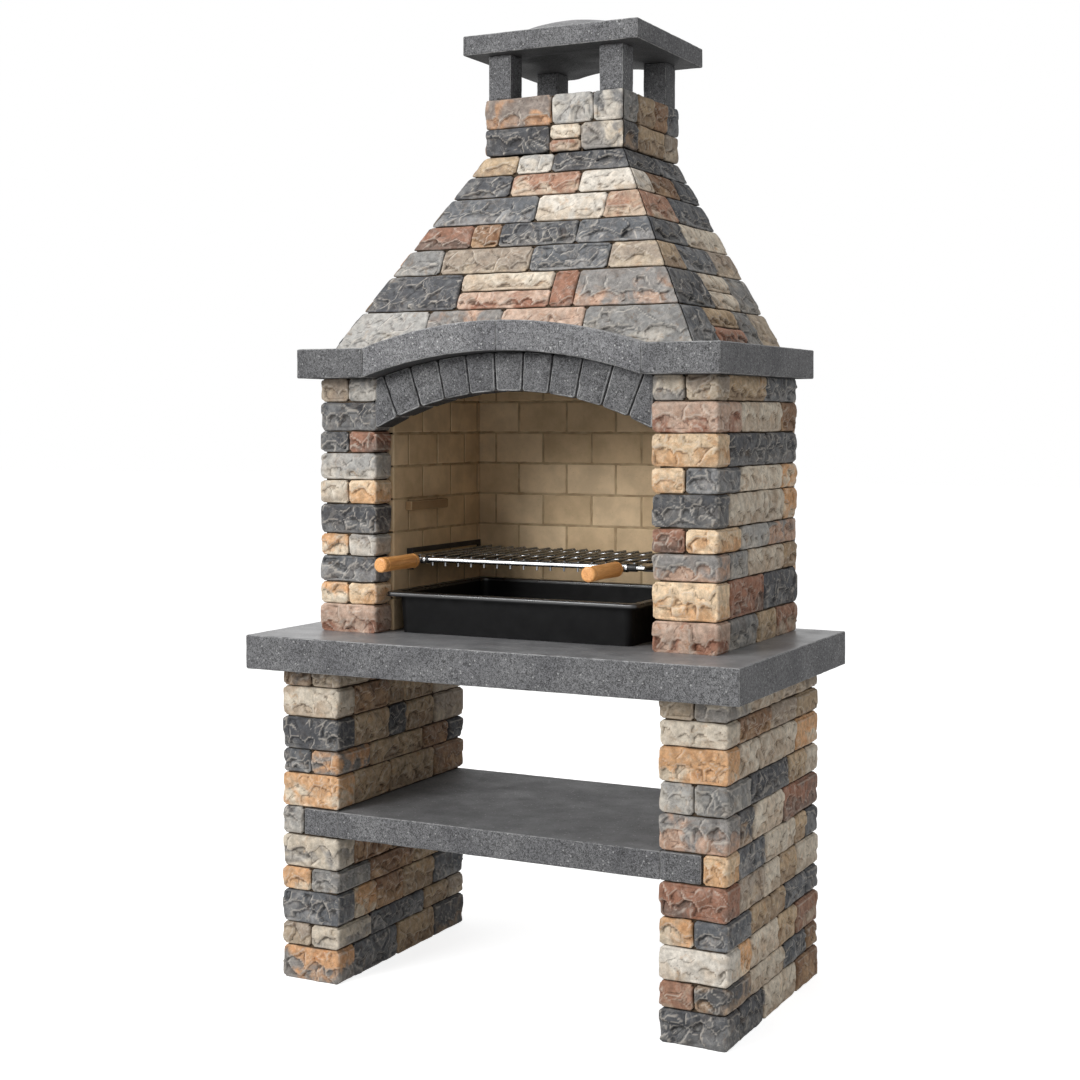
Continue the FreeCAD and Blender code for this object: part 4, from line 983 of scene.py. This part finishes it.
def make_voussoirs():
    """The wedge stones of the flat arch, each with nicked edges and a tooled face."""
    radius, corner_radius, nicks, nick_rate = 0.0055, 0.006, 0.008, 60
    reach = 1.5 * radius
    cells = (0.006, 0.006, 0.01)
    rough, ledge = 0.5, (0.2, 0.8)
    rng = np.random.default_rng(61)
    pile = Pile()
    for solid in loose_solids("arch_voussoirs"):
        corners = wedge_corners(solid)
        size = block_size(corners)
        local, quads = lattice([ticks(length, cell, reach) for length, cell in zip(size, cells)])
        shaped, normals = round_box(local, size, radius)
        relief, _ = broken_face(local[:, 0], local[:, 1], size[1], rng, rough, ledge)
        out = np.clip(-normals[:, 2], 0, 1) ** 2
        edge = edge_share(normals)
        nick = step(noise(shaped * nick_rate + rng.uniform(0, SHIFT_REACH, 3)), 0.05, 0.7)
        shaped = shaped + normals * (relief * out - edge * nick * nicks)[:, None]
        shaped = soft_corners(shaped, size, ("joint", "joint"), corner_radius)
        points = within(corners, shaped / size)
        if mirrored(corners):
            quads = quads[:, ::-1]
        detail = detail_rows(rng.uniform(0, SEED_REACH), np.clip(edge * EDGE_WEAR_AND_HIGHLIGHT, 0, 1))
        pile.add(points, quads, detail=detail)
    build_cast(pile, "arch_voussoirs")


make_voussoirs()


def make_cap():
    """The cap: a nicked slab whose top swells into a low dome and whose underside is vaulted."""
    cad_dome_rise, dome_rise, dome_radius, vault_rise = 0.050, 0.046, 0.190, 0.014
    low, high = node_box("chimney_cap")
    post_low, post_high = node_box("cap_post_front_right")
    thickness = high[2] - low[2] - cad_dome_rise
    ball = (dome_radius ** 2 + dome_rise ** 2) / (2 * dome_rise)
    middle = (low + high) / 2
    vault_half, vault_front = post_low[0], post_high[1]
    vault = (vault_half ** 2 + vault_rise ** 2) / (2 * vault_rise)

    def place(points):
        placed = points + low
        away = np.hypot(placed[:, 0], placed[:, 1] - middle[1])
        dome = np.sqrt(np.maximum(ball ** 2 - away ** 2, 0)) - (ball - dome_rise)
        hollow = np.sqrt(np.maximum(vault ** 2 - placed[:, 0] ** 2, 0)) - (vault - vault_rise)
        behind = step(placed[:, 1], vault_front - 2 * MILLIMETRE, vault_front + 2 * MILLIMETRE)
        share = points[:, 2] / thickness
        placed[:, 2] += share * np.maximum(dome, 0) + (1 - share) * np.maximum(hollow, 0) * behind
        return placed

    pile = Pile()
    cast_block(pile, (high[0] - low[0], high[1] - low[1], thickness), place, 71)
    build_cast(pile, "chimney_cap")


make_cap()


# Firebrick lining

def make_bricks(node, look, seed):
    """Each firebrick of a node with slightly round, worn edges."""
    cell, radius, nicks, wear = 0.012, 0.0034, 0.006, 0.0004
    nick_rate, wear_rate = 70, 25
    reach = 1.5 * radius
    rng = np.random.default_rng(seed)
    pile = Pile()
    for solid in loose_solids(node):
        low, high = solid.min(0), solid.max(0)
        size = high - low
        local, quads = lattice([ticks(length, cell, min(reach, length * MOST_REACH)) for length in size])
        shaped, normals = round_box(local, size, radius)
        edge = edge_share(normals)
        nick = step(noise(shaped * nick_rate + rng.uniform(0, SHIFT_REACH, 3)), 0.1, 0.8)
        shaped = shaped - normals * (edge * nick * nicks + wear * (1 + noise(shaped * wear_rate)))[:, None]
        detail = detail_rows(rng.uniform(0, SEED_REACH), np.clip(edge * EDGE_WEAR_AND_HIGHLIGHT, 0, 1))
        pile.add(shaped + low, quads, detail=detail)
    pile.build(f"{node}_worn", "masonry", look, "firebrick", node)


for number, name in enumerate(("left_firebricks", "right_firebricks", "rear_firebricks")):
    make_bricks(name, firebrick_look, 80 + number)
for number, name in enumerate(("left_grill_ledge", "right_grill_ledge")):
    make_bricks(name, shaded_ledge_look, 90 + number)


def make_pointing():
    """Thin mortar beds in the lining's joints, a little behind the bricks' faces."""
    recess, thickness, margin, cell = 0.0015, 0.004, 0.003, 0.03
    for name, axis, faces_up in (("left", 0, True), ("right", 0, False), ("rear", 1, False)):
        low, high = node_box(f"{name}_firebricks")
        high[axis] = high[axis] - recess if faces_up else low[axis] + recess + thickness
        low[axis] = high[axis] - thickness
        for other in {0, 1, 2} - {axis}:
            low[other] += margin
            high[other] -= margin
        local, quads = lattice([ticks(length, cell, length * 0.1) for length in high - low])
        pile = Pile()
        pile.add(local + low, quads)
        pile.build(f"{name}_lining_pointing", "masonry", pointing_look, "mortar")


make_pointing()


# Handles

def make_grip(word):
    """A turned grip: flat ends with round edges, a slight waist and a groove near each end."""
    sides, rings, end_rings = 48, 112, 14
    rounding, waist, flat_end = 0.0055, 0.06, 0.92
    front_groove, rear_groove, groove_depth, groove_width = 0.016, 0.014, 0.002, 0.0018
    ridge_height = 0.12 * MILLIMETRE
    node = f"{word}_handle_grip"
    low, high = node_box(node)
    radius = (high[0] - low[0]) / 2
    length = high[1] - low[1]
    middle = (low + high) / 2
    end = rounding * (1 - np.cos(np.linspace(0, np.pi / 2, end_rings)))
    shaft = np.linspace(rounding, length - rounding, rings)[1:-1]
    along = np.concatenate((end, shaft, length - end[::-1]))
    near = np.clip(np.minimum(along, length - along) / rounding, 0, 1)
    profile = radius * (1 - waist * np.sin(np.pi * along / length) ** 2)
    profile -= rounding * (1 - np.sqrt(1 - (1 - near) ** 2))
    for groove in (front_groove, length - rear_groove):
        profile -= groove_depth * np.exp(-((along - groove) / groove_width) ** 2)
    along = np.concatenate(((0.0,), along, (length,)))
    profile = np.concatenate((profile[:1] * flat_end, profile, profile[-1:] * flat_end))
    turn = np.linspace(0, 2 * np.pi, sides, endpoint=False)
    x = middle[0] + profile[:, None] * np.cos(turn)
    z = middle[2] + profile[:, None] * np.sin(turn)
    y = np.broadcast_to((low[1] + along)[:, None], x.shape)
    points = np.stack((x, y, z), -1).reshape(-1, 3)
    index = np.arange(len(along) * sides).reshape(len(along), sides)
    following = np.roll(index, -1, axis=1)
    quads = np.stack((index[:-1], index[1:], following[1:], following[:-1]), -1).reshape(-1, 4)
    ridge = np.clip(bends(points, quads) / ridge_height, -1, 1)
    pile = Pile()
    pile.add(points, quads, (index[0], index[-1][::-1]), detail=detail_rows(0.0, ridge))
    pile.build(f"{word}_handle_turned", f"{word}_handle", wood_look, "wood", node)


make_grip("left")
make_grip("right")


# Pieces that keep their CAD shape

SHARP_EDGE = math.radians(35)
SIDES = ("front", "rear", "left", "right")
CORES = ["left_leg_core", "right_leg_core", "left_pier_core", "right_pier_core", "rear_wall_core"]
CORES += [f"{part}_{side}_core" for part in ("hood", "chimney") for side in SIDES]
METALS = (
    (chrome_look, ("grill_front_bar", "grill_rear_bar", "grill_side_rods")),
    (chrome_look, ("left_handle_tang", "right_handle_tang")),
    (wire_look, ("grill_cross_rods", "grill_wires")),
    (steel_look, ("left_grill_rail", "right_grill_rail", "bar_collars")),
    (tray_look, ("ember_tray",)),
)


def dress(name, look):
    """Gives a CAD node a material."""
    mesh = nodes[name].data
    mesh.materials.clear()
    mesh.materials.append(look)


for name in CORES:
    dress(name, mortar_look)
for look, names in METALS:
    for name in names:
        dress(name, look)
        nodes[name].data.shade_smooth()
        nodes[name].data.set_sharp_from_angle(angle=SHARP_EDGE)


# Floor, light and camera

WHITE = (1.0, 1.0, 1.0, 1.0)
GREY = (0.6, 0.6, 0.6, 1.0)


def background_share(tree):
    """1 for rays that see the background as such: from the camera, a mirror or glass."""
    path = tree.nodes.new("ShaderNodeLightPath")
    value = path.outputs["Is Camera Ray"]
    for name in ("Is Glossy Ray", "Is Transmission Ray"):
        joined = tree.nodes.new("ShaderNodeMath")
        joined.operation = "MAXIMUM"
        tree.links.new(value, joined.inputs[0])
        tree.links.new(path.outputs[name], joined.inputs[1])
        value = joined.outputs[0]
    return value


def make_world():
    """Even light from all around, in front of a white background."""
    world = bpy.data.worlds.new("studio")
    bpy.context.scene.world = world
    world.use_nodes = True
    tree = world.node_tree
    light = tree.nodes["Background"]
    backdrop = tree.nodes.new("ShaderNodeBackground")
    for shader, strength in ((light, 0.5), (backdrop, 1.0)):
        shader.inputs["Color"].default_value = WHITE
        shader.inputs["Strength"].default_value = strength
    mixed = tree.nodes.new("ShaderNodeMixShader")
    tree.links.new(background_share(tree), mixed.inputs[0])
    tree.links.new(light.outputs[0], mixed.inputs[1])
    tree.links.new(backdrop.outputs[0], mixed.inputs[2])
    tree.links.new(mixed.outputs[0], tree.nodes["World Output"].inputs["Surface"])


def make_floor():
    """A pale floor that shows the shadow and runs out into the background."""
    mesh = bpy.data.meshes.new("floor")
    reach = 30.0
    corners = [(-reach, -reach, 0), (reach, -reach, 0), (reach, reach, 0), (-reach, reach, 0)]
    mesh.from_pydata(corners, [], [(0, 1, 2, 3)])
    floor = put("floor", mesh)
    look = Look("pale_floor", Roughness=1.0, Specular_IOR_Level=0.0, Base_Color=GREY, Emission_Color=WHITE)
    look.set(Emission_Strength=look.times(background_share(look.tree), 0.8))
    mesh.materials.append(look.material)


def make_lamp(name, place, target, size, power):
    """A round soft lamp that points at a target."""
    data = bpy.data.lights.new(name, "AREA")
    data.shape = "DISK"
    data.size = size
    data.energy = power
    lamp = put(name, data)
    lamp.location = place
    aim = np.array(target) - np.array(place)
    flat = math.hypot(aim[0], aim[1])
    lamp.rotation_euler = (math.atan2(flat, -aim[2]), 0.0, math.atan2(-aim[0], aim[1]))


def make_camera():
    """The photo's viewing angle."""
    data = bpy.data.cameras.new("camera")
    data.sensor_width = 36.0
    data.lens = 58.90
    data.shift_y = -0.1126
    camera = put("camera", data)
    camera.location = (1.8557, -3.6903, 1.2989)
    camera.rotation_euler = (math.pi / 2, 0.0, math.radians(27.1))
    bpy.context.scene.camera = camera


make_world()
make_floor()
make_lamp("key", place=(-2.1, -4.8, 3.0), target=(0.0, 0.0, 1.1), size=2.3, power=212.0)
make_lamp("top", place=(-0.6, -0.8, 5.2), target=(0.0, 0.0, 1.0), size=3.0, power=90.0)
make_camera()
bpy.context.scene.view_settings.view_transform = "Standard"
